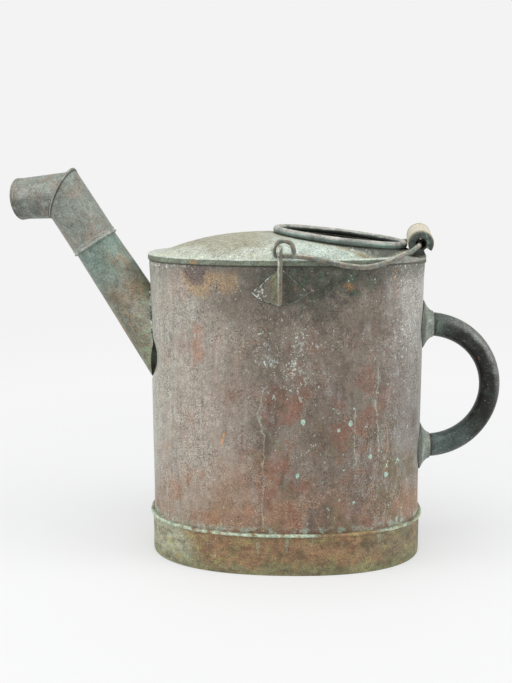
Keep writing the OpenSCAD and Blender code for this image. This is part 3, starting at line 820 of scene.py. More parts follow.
skirt, skirt_low = 2 - sheet, 3 * mm
plate = [(0.0, lift + sheet)] + [(r, lift + sheet) for r in between(0.12, 0.98, 12)]
plate += [(skirt, lift + 0.6 * sheet), (skirt, skirt_low), (skirt - sheet, skirt_low),
          (skirt - sheet, lift)]
plate += [(r, lift) for r in between(0.97, 0.12, 12)] + [(0.0, lift)]
bm = shaped(turned(plate, 128, closed=False), plate_point)
finished(bm, "bottom", "can", "foot_patina", foot_patina, "bottom_plate")

# %% [markdown]
# ## Hood
# The hood is a thin sheet beaten into a low dome from the oval rim up to the round opening,
# and turned down over the top of the wall all round. The roller of the bail has dented its rim.
#
# Rain stands on it, so it is the palest piece: khaki with brown speckles at the crest, and
# nearly white towards the rim. The turned-down band is darker, with mint patches.

# %% Reach


def reach_from(place, middle, across=(1, 1, 0)):
    """How far a place is from a line through middle, along the axis that across leaves out."""
    flat = place.scaled(*across)
    off = flat.node("VectorMath", {"operation": "SUBTRACT"}, {0: flat, 1: middle})
    return off.node("VectorMath", {"operation": "LENGTH"}, {0: off}, 1)


# %% Hood patina
hood_patina, shader, place = new_finish("hood patina")
x, y, z = axes(place)
outwards = (abs(x) * (1 / half_long)) ** squareness + (abs(y) * (1 / half_wide)) ** squareness
outwards = outwards + place.drift(0.025, 0.8, 3)
coat = Coats(155, 153, 134)
coat(outwards.step(0.45, 0.85), 183, 189, 177)
rinsed = x.step(-0.035, 0.005) * y.step(0.01, -0.02)
brown = place.patches(0.005, 0.48, 0.6, 8, 5, 0.8) * outwards.step(1.1, 0.4) * (1 - rinsed * 0.85)
coat(brown * 0.6, 130, 121, 98)
yellow = place.patches((0.03, 0.03, 0.01), 0.46, 0.6, 19) * outwards.step(0.7, 0.9)
coat(yellow * 0.4, 190, 190, 150)
teal = place.patches((0.02, 0.008, 0.01), 0.5, 0.62, 31, 5, 0.7) * x.step(-0.01, 0.02)
coat(teal * 0.45, 132, 158, 148)
bright = place.patches((0.03, 0.01, 0.02), 0.42, 0.6, 43, 4, 0.65) * x.step(-0.01, 0.02)
coat(bright * 0.6, 190, 202, 194)
coat(rinsed * 0.5, 188, 202, 192)
handle_side = (x + place.drift(0.02, 0.05, 47)).step(0.055, 0.085)
coat(handle_side * 0.4, 160, 167, 159)
from_ring = reach_from(place, (ring_at.x, 0.0, 0.0))
rusty = abs(from_ring - (ring_r + 3.9 * mm)).step(1.5 * mm, 0.4 * mm)
rusty = rusty * place.patches(0.006, 0.34, 0.54, 37, 4, 0.7)
coat(rusty * 0.7, 142, 122, 76)
# Painted shadow on the hood at the foot of the filler ring, under its outer half.
coat(from_ring.step(ring_r + 3.8 * mm, ring_r + 2.2 * mm) * 0.8, 66, 62, 52)
pale = crust(place, 0.004, 0.5, 13)
coat(pale * 0.4, 200, 207, 194)
band = z.step(body_top - 0.3 * mm, body_top - 1.2 * mm) * outwards.step(0.2, 0.4)
coat(band * 0.9, 100, 105, 88)
patches = place.patches((0.014, 0.014, 0.004), 0.5, 0.62, 17, 4, 0.65) * band
coat(patches * 0.5, 136, 156, 136)
# Painted highlight along the rolled top edge of the turned-down rim, broken up in patches.
crest = z.band(body_top - 1.1 * mm, body_top - 0.1 * mm, 0.3 * mm) * outwards.step(0.2, 0.4)
crest = crest * place.patches((0.012, 0.012, 0.01), 0.4, 0.56, 61, 4, 0.7)
coat(crest * 0.55, 204, 212, 196)
limed = band * x.step(0.09, 0.112) * y.step(0.02, -0.01)
coat(limed * 0.75, 152, 151, 141)
orange = place.near(-0.089, -0.067, body_top - 3.4 * mm, (0.007, 0.02, 0.0035), 0.8, 0.5)
orange = orange.most(crust(place, 0.005, 0.22, 23))
coat(orange * 0.65, 180, 128, 76)
# Painted shadow line along the lower edge of the turned-down band.
under = z.step(body_top - 4.9 * mm, body_top - 5.8 * mm) * band
coat(under * 0.8, 62, 62, 50)
pits = crust(place, 0.0028, 0.2, 29)
coat(pits * 0.6, 96, 88, 70)

skin = grain(place, 2.4, 0.9)
lay_on(shader, coat, skin, skin * 0.5 + pale * 0.6 - pits, 0.66 + pale * 0.2, 0.1)

# %% Hood
hood_margin, rim_h, rim_t, hole_r = 12 * mm, 6 * mm, 1.2 * mm, ring_r - 1.5 * mm
seat = ring_wire - 0.3 * mm
ct, st = math.cos(ring_tilt), math.sin(ring_tilt)


def hole_point(turn):
    """The edge of the filler hole, just under the ring."""
    out, side = polar(hole_r, turn)
    return Vector((ring_at.x + out * ct - seat * st, side, ring_at.z - out * st - seat * ct))


def hood_point(turn, radius, drop):
    """radius is 1 + a growth on the turned-down rim, 2 + a share of the flat margin and 3 + a
    share of the dome. drop is the height above the sheet's top, so it is mostly below 0."""
    x, y = oval(turn)
    if radius < 1.5:
        x, y = oval(turn, radius - 1)
        wave = 0.25 * mm * ripple_at(x * 45, y * 45, 3)
        return Vector((x, y, body_top + drop + wave * (drop / rim_h) - rim_dent(x, y)))
    hole = hole_point(turn)
    edge = hood_margin / math.hypot(hole.x - x, hole.y - y)
    u = min(1.0, max(0.0, radius - 3))
    share = edge * (radius - 2) if radius < 3 else mixed(edge, 1, u)
    px, py = mixed(x, hole.x, share), mixed(y, hole.y, share)
    rise = (hole.z - body_top) * (1 - (1 - u) ** 2.6)
    beaten = 0.35 * mm * (ripple_at(px * 30, py * 30, 7) - 0.3) * smooth(0, 0.1, u) * (1 - u)
    return Vector((px, py, body_top + rise + drop + beaten - rim_dent(px, py) * (1 - u)))


dome = [0.0, 0.015, 0.04, 0.07, 0.105, 0.145, 0.19, 0.24, 0.29, 0.345, 0.4, 0.46, 0.52, 0.59,
        0.66, 0.74, 0.82, 0.91, 1.0]
hood = [(1 + rim_t - 0.25 * mm, -rim_h), (1 + rim_t, -rim_h + 0.3 * mm), (1 + rim_t, -3 * mm),
        (1 + rim_t, -1.3 * mm), (1 + 0.93 * rim_t, -0.7 * mm), (1 + 0.7 * rim_t, -0.25 * mm),
        (1 + 0.35 * rim_t, -0.03 * mm), (2.0, 0.0), (2.3, 0.0), (2.6, 0.0), (2.85, 0.0)]
hood += [(3 + u, 0.0) for u in dome] + [(3 + u, -sheet) for u in reversed(dome)]
hood += [(2.6, -sheet), (2.1, -sheet), (1.0, -1.05 * sheet), (1.0, -rim_h)]
bm = shaped(turned(hood, 256), hood_point)
finished(bm, "hood_sheet", "can", "hood_patina", hood_patina, "hood")

# %% [markdown]
# ## Filler ring
# A thick round wire is soldered round the opening, so that its edge can't cut a hand. Its
# upper side is painted a pale pinkish grey, as a highlight of light from above, its underside
# is teal with painted shade on its inner side, and a thin rusty line of old solder shows beneath
# it.
#
# It is a circle spun round Z, then tilted with the hood. Slow noise moves it a fraction of a
# millimetre, because a wire bent by hand is never a perfect ring. Height above the ring's own
# plane tells the finish which side of the wire it is on.

# %% Ring patina
ring_patina, shader, place = new_finish("ring patina")
x, y, z = axes(place)
above = z + (x - ring_at.x) * math.tan(ring_tilt) - ring_at.z
above = above + place.drift(0.008, 0.004, 3, 3)
coat = Coats(108, 128, 122)
# Painted highlight: the upper side of the wire is lighter, as where light from above falls on it.
coat(above.step(-0.0012, 0.0022), 166, 166, 158)
coat(above.step(0.0018, 0.0034) * 0.55, 186, 178, 168)
teal = place.patches(0.012, 0.5, 0.62, 9, 4, 0.65)
coat(teal * 0.45, 104, 130, 118)
dark = place.patches(0.02, 0.5, 0.64, 15)
coat(dark * 0.5, 78, 76, 70)
coat(above.step(-0.0022, -0.0032) * 0.7, 96, 74, 52)
from_ring = reach_from(place, (ring_at.x, 0.0, 0.0)) - ring_r
# Painted shade on the lower inner side of the wire, which faces the dark opening.
inner = from_ring.step(0.6 * mm, -1.2 * mm) * above.step(1.9 * mm, 0.3 * mm)
coat(inner * 0.9, 38, 42, 37)
skin = grain(place, 1.8, 0.9)
lay_on(shader, coat, skin, skin * 0.5, 0.5, 0.3)

# %% Filler ring


def ring_point(turn, radius, z):
    """A circle that is a little out of true, tilted with the hood."""
    x, y = polar(radius, turn)
    wobble = 0.18 * mm * ripple_at(x * 30, y * 30, 2)
    return ring_at + Matrix.Rotation(ring_tilt, 3, "Y") @ Vector((x, y, z + wobble))


circle = [(ring_r + ring_wire * math.cos(q), ring_wire * math.sin(q))
          for q in between(0, math.tau, 25)[:-1]]
bm = shaped(turned(circle, 168), ring_point)
finished(bm, "ring", "can", "dark_patina", ring_patina, "filler_ring")

# %% [markdown]
# ## Spout
# The spout is a sheet rolled into a tapered tube, with its seam underneath, and soldered to
# the wall. The solder has let go along the lower part, where a dark gap shows.
#
# One spin gives the double-walled tube. Each of its lines then starts where it meets the
# oval wall, which is found by halving, so that the joint follows the curve of the body. The
# finish is teal at the upper end, with an ochre and red-brown streak down the middle.

# %% Frames of the spout and the elbow
bend = math.radians(64.2)
mitre = (spout_frame @ Matrix.Translation((0, 0, 162.4 * mm))
         @ Matrix.Rotation(math.radians(-15.5), 4, "Z"))


def along_frame(place, frame):
    """The place in a tube's own frame, whose Z runs along the tube."""
    return place.node("Mapping", {"vector_type": "TEXTURE"},
                      {"Vector": place, "Location": tuple(frame.translation),
                       "Rotation": tuple(frame.to_euler())})


# %% Spout patina
spout_patina, shader, place = new_finish("spout patina")
x, y, z = axes(place)
own = along_frame(place, spout_frame)
own_x, _, own_z = axes(own)
up = own_z + place.drift(0.03, 0.08, 5)
coat = Coats(145, 140, 124)
coat(up.step(0.04, 0.085), 116, 134, 124)
bands = own.clouds((0.016, 0.016, 0.05), 11, 5, 0.65)
coat(bands.step(0.47, 0.58) * up.step(0.095, 0.06) * 0.7, 148, 122, 96)
coat(bands.step(0.44, 0.34) * 0.6, 106, 124, 110)
over = own_x.step(0.004, -0.016) * up.step(0.08, 0.05)
coat(over * 0.55, 70, 78, 66)
threads = own.clouds((0.004, 0.004, 0.05), 15, 4, 0.7)
coat(threads.step(0.55, 0.65) * up.step(0.11, 0.07) * 0.6, 164, 142, 98)
near_wall = x.step(-0.156, -0.141) * place.patches(0.007, 0.44, 0.56, 17, 4, 0.65)
coat(near_wall * 0.7, 136, 158, 128)
elbow = own_z.step(0.1035, 0.1045).most(x.step(-0.215, -0.225))
coat(elbow * 0.7, 132, 134, 125)
grey = place.patches(0.009, 0.52, 0.66, 23, 5, 0.75)
coat(grey * 0.5, 156, 161, 153)
brown = place.patches(0.012, 0.52, 0.64, 31, 5, 0.75)
coat(brown * 0.5, 98, 92, 82)
pink = place.patches(0.016, 0.47, 0.58, 37, 5, 0.7) * elbow
coat(pink * 0.6, 136, 121, 110)
shaded_side = z.step(0.385, 0.36) * x.step(-0.222, -0.236)
shaded_side = shaded_side * place.patches(0.01, 0.36, 0.56, 47, 4, 0.7)
coat(shaded_side * 0.6, 88, 90, 84)
rust = crust(place, 0.006, 0.2, 41)
coat(rust * 0.55, 158, 120, 78)
spots = crust(place, 0.003, 0.3, 43)
coat(spots * 0.5, 182, 194, 180)
mx, _, mz = axes(along_frame(place, mitre))
off_mitre = mz - mx * math.tan(bend / 2)
seam = abs(off_mitre + 0.0004).step(0.0013, 0.0004)
seam = seam.most(abs(off_mitre - 0.0029).step(0.0009, 0.0003) * 0.6)
coat(seam * 0.8, 58, 60, 54)
edge = off_mitre.band(0.0006, 0.0022, 0.0003)
coat(edge * 0.4, 158, 160, 150)
gone_dark = abs(up - 0.099).step(0.0025, 0.0008)
coat(gone_dark * 0.5, 84, 108, 96)
collar = own_z.band(0.1038, 0.1092, 0.0005) * place.patches(0.006, 0.36, 0.54, 51, 4, 0.7)
coat(collar * 0.5, 168, 176, 166)
low_end = up.step(0.045, 0.01) * own_x.step(-0.006, 0.012)
coat(low_end * 0.6, 176, 171, 158)

skin = grain(place, 2.3, 1.1)
rough = 0.5 + spots * 0.3 + grey * 0.1
lay_on(shader, coat, skin, skin * 0.4 + spots * 0.6, rough, 0.3 - grey * 0.2)

# %% Two skins of a tube


def two_skins(rows):
    """The section of a tube's wall: radius 2 stands for its outside, 1 for its inside."""
    return [(2.0, row) for row in rows] + [(1.0, row) for row in reversed(rows)]


# %% Spout
spout_wall_r, spout_tip_r, spout_l = 25.3 * mm, 21.8 * mm, 131 * mm
taper = (spout_wall_r - spout_tip_r) / spout_l
crack_half, crack_rise = 22 * mm, 2.5 * mm
crack_r = (crack_half ** 2 + crack_rise ** 2) / (2 * crack_rise)
crack_z, crack_gap = spout_z - spout_wall_r - 2 * mm, 1.2 * mm


def crack(z):
    """How far the spout's edge stands off the wall at a height: an arc in the section."""
    off = z - crack_z
    if abs(off) >= crack_r:
        return 0.0
    return max(0.0, crack_gap - (crack_r - math.sqrt(crack_r ** 2 - off * off)))


def spout_place(turn, s, inset=0.0):
    """A point of the spout: s is how far along it, and inset how far under its skin."""
    r = spout_wall_r - taper * s - inset
    return spout_frame @ Vector((*polar(r, turn), s))


def spout_start(turn, inset=0.0):
    """Where a line along the spout meets the body's wall, by halving."""
    low, high = -60 * mm, 60 * mm
    for _ in range(30):
        mid = (low + high) / 2
        p = spout_place(turn, mid, inset)
        if p.x > -(oval_end(p.y) + crack(p.z) * smooth(15 * mm, 0, p.y) + 0.05 * mm):
            low = mid
        else:
            high = mid
    return high


starts = {}  # where each line along the spout starts, so that it is worked out only once


def spout_point(turn, radius, share):
    inset = 0.0 if radius > 1.5 else sheet
    key = (round(turn, 4), inset)
    if key not in starts:
        starts[key] = spout_start(turn, inset)
    s = mixed(starts[key], spout_l, share)
    bulge = 0.35 * mm * ripple_at(*polar(1.3, turn), s * 18)
    fade = smooth(0, 30 * mm, s) * (1 - smooth(70 * mm, 95 * mm, s))
    lap = 0.45 * mm if inset == 0 and abs(turn) < 0.16 else 0.0
    return spout_place(turn, s, inset + (abs(bulge) - lap) * fade)


bm = shaped(turned(two_skins(between(0, 1, 40)), 96), spout_point)
finished(bm, "spout", "can", "spout_patina", spout_patina, "spout_tube")

# %% [markdown]
# ## Elbow sleeve
# The elbow slips over the spout's tip and turns on it. Its lower part is a sleeve, with a
# double bead that keeps its edge round, and its upper end is cut at a mitre. It is turned
# straight, and every ring of points then leans a little more, up to the plane of the mitre.

# %% Elbow sleeve
sleeve_l = 58.4 * mm
sleeve_r = spout_wall_r - taper * 104 * mm + 1.3 * mm
sleeve_draft = 0.75 * mm / (sleeve_l + 100 * mm)
slope = math.tan(bend / 2)


def bump(z, centre, radius, sink=0.0):
    """How far a round bead stands out of a tube's side at z."""
    off = abs(z - centre)
    return max(0.0, math.sqrt(radius ** 2 - off ** 2) - sink) if off < radius else 0.0


def sleeve_point(turn, radius, z):
    r = sleeve_r - sleeve_draft * (z + sleeve_l)
    if radius > 1.5:
        r += bump(z, -57.3 * mm, 1.1 * mm) + bump(z, -53.4 * mm, 0.88 * mm, 0.3 * mm)
    else:
        r -= sheet
    x, y = polar(r, turn)
    share = max(0.0, (z + 48 * mm) / (48 * mm))
    return mitre @ Vector((x, y, z + share * x * slope))


beads = [-58.4, -58.3, -58.0, -57.65, -57.3, -56.95, -56.6, -56.3, -56.2, -55.2, -54.25, -54.0,
         -53.7, -53.4, -53.1, -52.8, -52.55, -51, -48.5]
rows = [z * mm for z in beads] + between(-45 * mm, 0, 20)
bm = shaped(turned(two_skins(rows), 96), sleeve_point)
finished(bm, "sleeve", "elbow", "spout_patina", spout_patina, "elbow_sleeve")

# %% [markdown]
# ## Elbow nozzle
# The nozzle leans back from the same mitre, narrows, and ends in a rolled lip with a second
# fine bead behind it. A folded strip, the welt, locks it to the sleeve. It stands out a
# little and is a separate turned ring, joined to the nozzle's mesh.

# %% Joining


def joined(*meshes):
    """One bmesh from several."""
    whole = bmesh.new()
    for bm in meshes:
        part = bpy.data.meshes.new("part")
        bm.to_mesh(part)
        bm.free()
        whole.from_mesh(part)
        bpy.data.meshes.remove(part)
    return whole


# %% Elbow nozzle
nozzle_l, nozzle_r, nozzle_draft = 50.5 * mm, 22.67 * mm, 2.1 / 50.5
nozzle_frame = mitre @ Matrix.Rotation(-bend, 4, "Y")


def nozzle_point(turn, radius, z):
    r = nozzle_r - nozzle_draft * z
    if radius > 1.5:
        r += bump(z, nozzle_l - 1.1 * mm, 1.1 * mm, 0.35 * mm)
        r += bump(z, nozzle_l - 4.6 * mm, 0.7 * mm, 0.3 * mm)
    else:
        r -= sheet
    x, y = polar(r, turn)
    share = max(0.0, 1 - z / (40 * mm))
    return nozzle_frame @ Vector((x, y, z - share * x * slope))


def welt_point(turn, radius, z):
    """radius is 1 + how far the welt stands out of the sleeve."""
    x, y = polar(sleeve_r - sleeve_draft * sleeve_l + radius - 1, turn)
    return mitre @ Vector((x, y, z + x * slope))


from_lip = (7, 5.4, 5.2, 5, 4.6, 4.2, 4, 3.8, 2.4, 2.2, 1.9, 1.5, 1.1, 0.7, 0.35, 0.1, 0)
nozzle = two_skins(between(0, 42 * mm, 22) + [nozzle_l - q * mm for q in from_lip])
welt_t, welt_w, welt_foot = 0.5 * mm, 2.6 * mm, 1 - 1.4 * mm
welt = [(welt_foot, 0.05 * mm), (1 + 0.3 * welt_t, 0.05 * mm), (1 + 0.8 * welt_t, 0.3 * mm),
        (1 + welt_t, 0.8 * mm), (1 + welt_t, welt_w - 0.8 * mm),
        (1 + 0.8 * welt_t, welt_w - 0.3 * mm), (1 + 0.3 * welt_t, welt_w), (welt_foot, welt_w)]
bm = joined(shaped(turned(nozzle, 96), nozzle_point), shaped(turned(welt, 96), welt_point))
finished(bm, "nozzle", "elbow", "spout_patina", spout_patina, "elbow_nozzle")

# %% [markdown]
# ## Rear handle
# The rear handle is a hollow tube bent into a half circle, a little slimmer in the middle.
# Hands kept its middle dark and smooth, while its ends have gone teal with a few rusty spots.
#
# It is a rod along a path: a short straight piece, half a circle and another short piece.
# Slow noise gives it the shallow flats of a tube bent round a block.

# %% Handle patina
handle_patina, shader, place = new_finish("handle patina")
x, y, z = axes(place)
held = (x + place.drift(0.02, 0.06, 5)).step(half_long + 8 * mm, half_long + 40 * mm)
coat = Coats(84, 94, 87)
coat(held, 24, 23, 21)
foot_grey = x.step(half_long + 12 * mm, half_long + 10.4 * mm)
coat(foot_grey * 0.9, 138, 145, 134)
green = place.patches(0.016, 0.48, 0.62, 11, 5, 0.65)
coat(green * (0.5 - held * 0.3), 92, 110, 100)
dark = place.patches(0.01, 0.52, 0.64, 17, 5, 0.7)
coat(dark * (0.8 - foot_grey * 0.55), 38, 38, 34)
worn = place.patches((0.008, 0.02, 0.02), 0.52, 0.66, 23, 4, 0.65) * held
coat(worn * 0.3, 84, 82, 78)
low_end = z.step(0.165, 0.135) * x.step(half_long + 58 * mm, half_long + 44 * mm)
coat(low_end * 0.5 * (1 - foot_grey), 92, 108, 104)
# Painted highlight along the outer upper side of the held middle of the tube.
from_middle = reach_from(place, (half_long + 6.2 * mm, 0.0, 0.1755), (1, 0, 1))
outside = (from_middle + place.drift(0.012, 0.01, 47, 4, 0.7)).step(0.066, 0.073) * held
outside = outside * z.step(0.15, 0.19)
coat(outside * 0.45, 146, 148, 143)
rust = crust(place, 0.007, 0.34, 29)
coat(rust * 0.7, 128, 86, 58)
pale = crust(place, 0.0028, 0.4 - held * 0.08, 37)
coat(pale * 0.7, 172, 182, 172)
collar = x.step(half_long + 2.2 * mm, half_long + 0.4 * mm)
blots = place.clouds(0.008, 53, 5, 0.75)
coat(blots.step(0.5, 0.6) * foot_grey * 0.5, 92, 96, 84)
coat(blots.step(0.47, 0.37) * foot_grey * 0.5, 156, 164, 154)
coat(collar * 0.7, 70, 72, 64)
mouth = x.band(half_long + 10.6 * mm, half_long + 13 * mm, 0.0006)
coat(mouth * 0.8, 58, 46, 38)
skin = grain(place, 2.8, 1.3)
rough = 0.52 - held * 0.14 + pale * 0.3
lay_on(shader, coat, skin, skin * 0.5 + pale * 0.5, rough, 0.25 + held * 0.15)

# %% Rods


def along(path, size, sides, round_ends=True):
    """A rod along a line of points. size gives its radius at a share of the way."""
    last = len(path) - 1
    ahead = [(path[min(i + 1, last)] - path[max(i - 1, 0)]).normalized() for i in range(last + 1)]
    side = [ahead[0].orthogonal().normalized()]
    for was, now in zip(ahead, ahead[1:]):
        side.append((was.rotation_difference(now) @ side[-1]).normalized())
    chain = []
    if round_ends:
        chain += [(math.sin(q), -0.999 * math.cos(q)) for q in between(0, 1.3, 5)]
    chain += [(1.0, row) for row in range(last + 1)]
    if round_ends:
        chain += [(math.sin(q), last + 0.999 * math.cos(q)) for q in between(1.3, 0, 5)]

    def place(turn, ring, row):
        i = min(max(round(row), 0), last)
        over = row - i
        r = size(i / last)
        across = side[i] * math.cos(turn) + ahead[i].cross(side[i]) * math.sin(turn)
        return path[i] + across * ring * r + ahead[i] * over * r

    return shaped(turned(chain, sides, closed=False), place)


# %% Rear handle
handle_z, handle_bend = 175.5 * mm, 64.5 * mm
handle_x, handle_start = half_long + 6.2 * mm, half_long + 0.4 * mm
end_r, mid_r = 12.3 * mm, 10.7 * mm
path = [Vector((handle_start, 0, handle_z + handle_bend))]
for q in between(math.pi / 2, -math.pi / 2, 73):
    out, up = polar(handle_bend, q)
    path.append(Vector((handle_x + out, 0, handle_z + up)))
path.append(Vector((handle_start, 0, handle_z - handle_bend)))


def handle_size(share):
    """The tube is drawn thinner where it is bent most."""
    q = math.cos(mixed(math.pi / 2, -math.pi / 2, share))
    return mixed(end_r, mid_r, max(0.0, q) ** 1.5) - 0.02 * mm


bm = along(path, handle_size, 40, round_ends=False)
middle = Vector((handle_x, 0, handle_z))
for v in bm.verts:
    off = noise.noise(v.co * 28) * 0.35 * mm
    outwards = Vector((v.co.x, 0, v.co.z)) - middle
    centre = middle + outwards.normalized() * handle_bend
    if v.co.x > handle_x:
        v.co += (v.co - centre).normalized() * (off - 0.2 * mm)
finished(bm, "handle", "can", "dark_patina", handle_patina, "handle_tube")

# %% [markdown]
# ## Handle feet
# Each end of the handle stands in a flared foot, like a small trumpet, which spreads the
# solder over a wider patch of wall. Its flare is an arc in the section, and its base follows
# the oval of the wall, so that no gap shows beside it.

# %% Handle feet
bore = end_r + 0.4 * mm
foot_reach, foot_out = 10.5 * mm, 24.6 * mm


def handle_foot(z):
    """The trumpet, as a section of (radius from the tube's axis, height off the wall)."""
    chain = [(foot_out, 0.0), (foot_out, 0.6 * mm)]
    for share in between(1, 0, 12):
        chain.append((mixed(bore + sheet, foot_out - 0.3 * mm, share ** 1.7),
                      mixed(foot_reach - 0.8 * mm, 1.0 * mm, share)))
    chain += [(bore + 0.8 * sheet, foot_reach - 0.2 * mm), (bore + 0.3 * sheet, foot_reach),
              (bore, foot_reach - 0.3 * mm), (bore, 0.0)]

    def place(turn, radius, height):
        y, dz = polar(radius, turn)
        flat = smooth(bore + 5 * mm, bore + 1 * mm, radius)
        surface = mixed(oval_end(y), half_long, flat * smooth(1 * mm, 6 * mm, height))
        return Vector((surface + max(height, 0.02 * mm), y, z + dz))

    return shaped(turned(chain, 72), place)


for name, z, node in (("upper_foot", handle_z + handle_bend, "handle_foot_upper"),
                      ("lower_foot", handle_z - handle_bend, "handle_foot_lower")):
    finished(handle_foot(z), name, "can", "dark_patina", handle_patina, node)

# %% [markdown]
# ## Lugs
# Each lug is a thick rod hammered flat along the wall, bent out over the rim and down on the
# hood. A fan-shaped patch spreads its pull over the thin sheet. The bail's eye hangs on the
# bend. A thread of old solder, dark with white crumbs, runs round the patch's edge.

# %% Sizes of the lugs
lug_x, lug_r = -5.3 * mm, 2.35 * mm
bail_r, bail_gap = 2.3 * mm, 0.4 * mm
eye_y = half_wide + rim_t + bail_r + bail_gap
leg = bail_r + bail_gap + lug_r
lug_z = body_top + 11.8 * mm
patch_t, patch_r, patch_top, patch_half = 1 * mm, 35 * mm, body_top - 7.5 * mm, math.radians(48)

lug_foot = (half_wide + patch_t + lug_r + 0.05 * mm, body_top - 41.5 * mm)
lug_knee = (eye_y + leg, body_top - 8 * mm)
lug_line = [mixed(Vector(lug_foot), Vector(lug_knee), share) for share in between(0, 1, 12)]
lug_line += [Vector((lug_knee[0], z)) for z in between(lug_knee[1] + mm, lug_z - leg - mm, 6)]
lug_line += [Vector((eye_y + leg * math.cos(q), lug_z - leg + leg * math.sin(q)))
             for q in between(0, math.pi, 13)]
lug_line += [Vector((eye_y - leg, z)) for z in between(lug_z - leg - mm, body_top + 0.6 * mm, 5)]
print("lug rod", round(sum((b - a).length for a, b in zip(lug_line, lug_line[1:])) / mm), "mm long")

# %% Wire patina
wire_patina, shader, place = new_finish("wire patina")
facing = Signal(place.tree, place.socket.node.outputs["Normal"])
facing_x, _, facing_up = axes(facing)
x, _, z = axes(place)
coat = Coats(128, 118, 104)
coat(place.patches(0.01, 0.4, 0.62, 3, 4, 0.65), 94, 100, 94)
rod = abs(x - lug_x).step(0.0075, 0.0055) * z.step(0.309, 0.3)
coat(rod * 0.6, 140, 122, 100)
# The upward-facing sides of the wire are painted paler: partly wear, partly a painted highlight
# from above.
worn = (facing_up + place.drift(0.007, 2.2, 9, 4, 0.7)).step(0.35, 0.95)
coat(worn * 0.75, 180, 176, 162)
# The left-facing sides of the lug rods and the bail's eyes are painted pale mint: partly verdigris
# crust, partly a painted highlight.
mint = (facing_x * -1.0 + place.drift(0.008, 3.0, 15, 4, 0.65)).step(0.2, 0.65)
mint = mint * (0.35 + z.step(0.285, 0.3) * 0.45)
coat(mint * x.step(0.012, 0.004), 190, 200, 184)
teal = place.patches(0.014, 0.48, 0.6, 27)
coat(teal * 0.45, 104, 124, 118)
low_shine = (facing_up * -1.0 + place.drift(0.006, 2.0, 33, 4, 0.7)).step(0.3, 0.9)
coat(low_shine * 0.35 * x.step(0.02, 0.05), 186, 184, 174)
dark = place.patches(0.005, 0.56, 0.66, 21, 4, 0.7)
coat(dark * 0.6, 66, 60, 52)
skin = grain(place, 1.7, 1.0)
lay_on(shader, coat, skin, skin * 0.5, 0.5, 0.3)

# %% Patch and solder finishes
patch_patina, shader, place = new_finish("patch patina")
x, y, z = axes(place)
coat = Coats(96, 94, 84)
coat(place.patches(0.012, 0.42, 0.6, 3, 5, 0.65), 116, 108, 96)
right = (x + place.drift(0.008, 0.016, 19, 4, 0.65)).step(-0.004, 0.0)
coat(right * (0.55 + x.step(0.016, 0.002) * 0.35), 58, 60, 49)
blots = place.clouds(0.006, 23, 5, 0.7)
coat(blots.step(0.52, 0.62) * 0.45, 124, 108, 84)
coat(blots.step(0.45, 0.37) * right * 0.6, 86, 114, 98)
beside = x.band(lug_x - 8 * mm, lug_x - 2 * mm, 1 * mm)
beside = beside * place.patches((0.004, 0.004, 0.008), 0.4, 0.56, 9, 4, 0.7)
coat(beside * 0.65, 150, 152, 112)
crumbs = crust(place, 0.0035, 0.3 + x.step(-0.012, -0.026) * 0.6, 13)
coat(crumbs * 0.85, 204, 210, 200)
skin = grain(place)
lay_on(shader, coat, skin, skin * 0.5 + crumbs, 0.6 + crumbs * 0.25, 0.2 - crumbs * 0.2)

solder, shader, place = new_finish("old solder")
x, y, z = axes(place)
coat = Coats(62, 68, 56)
coat(place.patches(0.009, 0.42, 0.6, 5, 4, 0.65), 108, 122, 104)
crumbs = crust(place, 0.006, 0.72 + x.step(-0.008, -0.02) * 0.3, 13)
coat(crumbs * 0.9, 216, 220, 212)
skin = grain(place)
lay_on(shader, coat, skin, skin * 0.5 + crumbs, 0.8, 0.05)

# %% Lugs and their patches


def lug_width(share):
    """The rod's lower end is hammered a little thinner."""
    return lug_r * (0.86 + 0.14 * smooth(0, 0.08, share))


def patch_plate(side):
    """The fan: a square grid bent into a sector and laid on the oval."""
    bm = bmesh.new()
    bmesh.ops.create_grid(bm, x_segments=40, y_segments=28, size=1)
    for v in bm.verts:
        out, swing = 0.02 + 0.98 * (v.co.y + 1) / 2, v.co.x * patch_half
        x = lug_x + out * patch_r * math.sin(swing)
        z = patch_top - out * patch_r * math.cos(swing)
        lump = 0.12 * mm * ripple_at(x * 90, z * 90, side)
        v.co = Vector((x, side * oval_side(x, patch_t - 0.12 * mm + lump), z))
    bmesh.ops.recalc_face_normals(bm, faces=bm.faces)
    if bm.faces[:][0].normal.y * side < 0:
        bmesh.ops.reverse_faces(bm, faces=bm.faces)
    bmesh.ops.solidify(bm, geom=bm.faces[:], thickness=0.8 * mm)
    return bm


def solder_line(side, start, end, width, seed):
    """A lumpy thread of solder on the wall, from and to (radius, angle) on the patch."""
    line = []
    for share in between(0, 1, 40):
        out = mixed(start[0], end[0], share) * patch_r
        swing = math.radians(mixed(start[1], end[1], share))
        x, z = lug_x + out * math.sin(swing), patch_top - out * math.cos(swing)
        line.append(Vector((x, side * oval_side(x, 0.7 * mm), z)))
    return along(line, lambda share: width * (0.75 + 0.8 * ripple_at(share * 14, seed, 0)), 8)


for name, side in (("front", -1), ("rear", 1)):
    line = [Vector((lug_x, side * y, z)) for y, z in lug_line]
    finished(along(line, lug_width, 20), "lug_rod_" + name, "can", "wire_patina", wire_patina,
             "lug_" + name)
    finished(patch_plate(side), "patch_" + name, "can", "body_patina", patch_patina,
             "lug_patch_" + name)
    threads = joined(solder_line(side, (0.12, -48), (1, -48), 0.65 * mm, side),
                     solder_line(side, (0.12, 48), (1, 48), 0.5 * mm, side + 4),
                     solder_line(side, (1, -48), (1, 48), 0.75 * mm, side + 8))
    finished(threads, "patch_solder_" + name, "can", "hood_patina", solder)

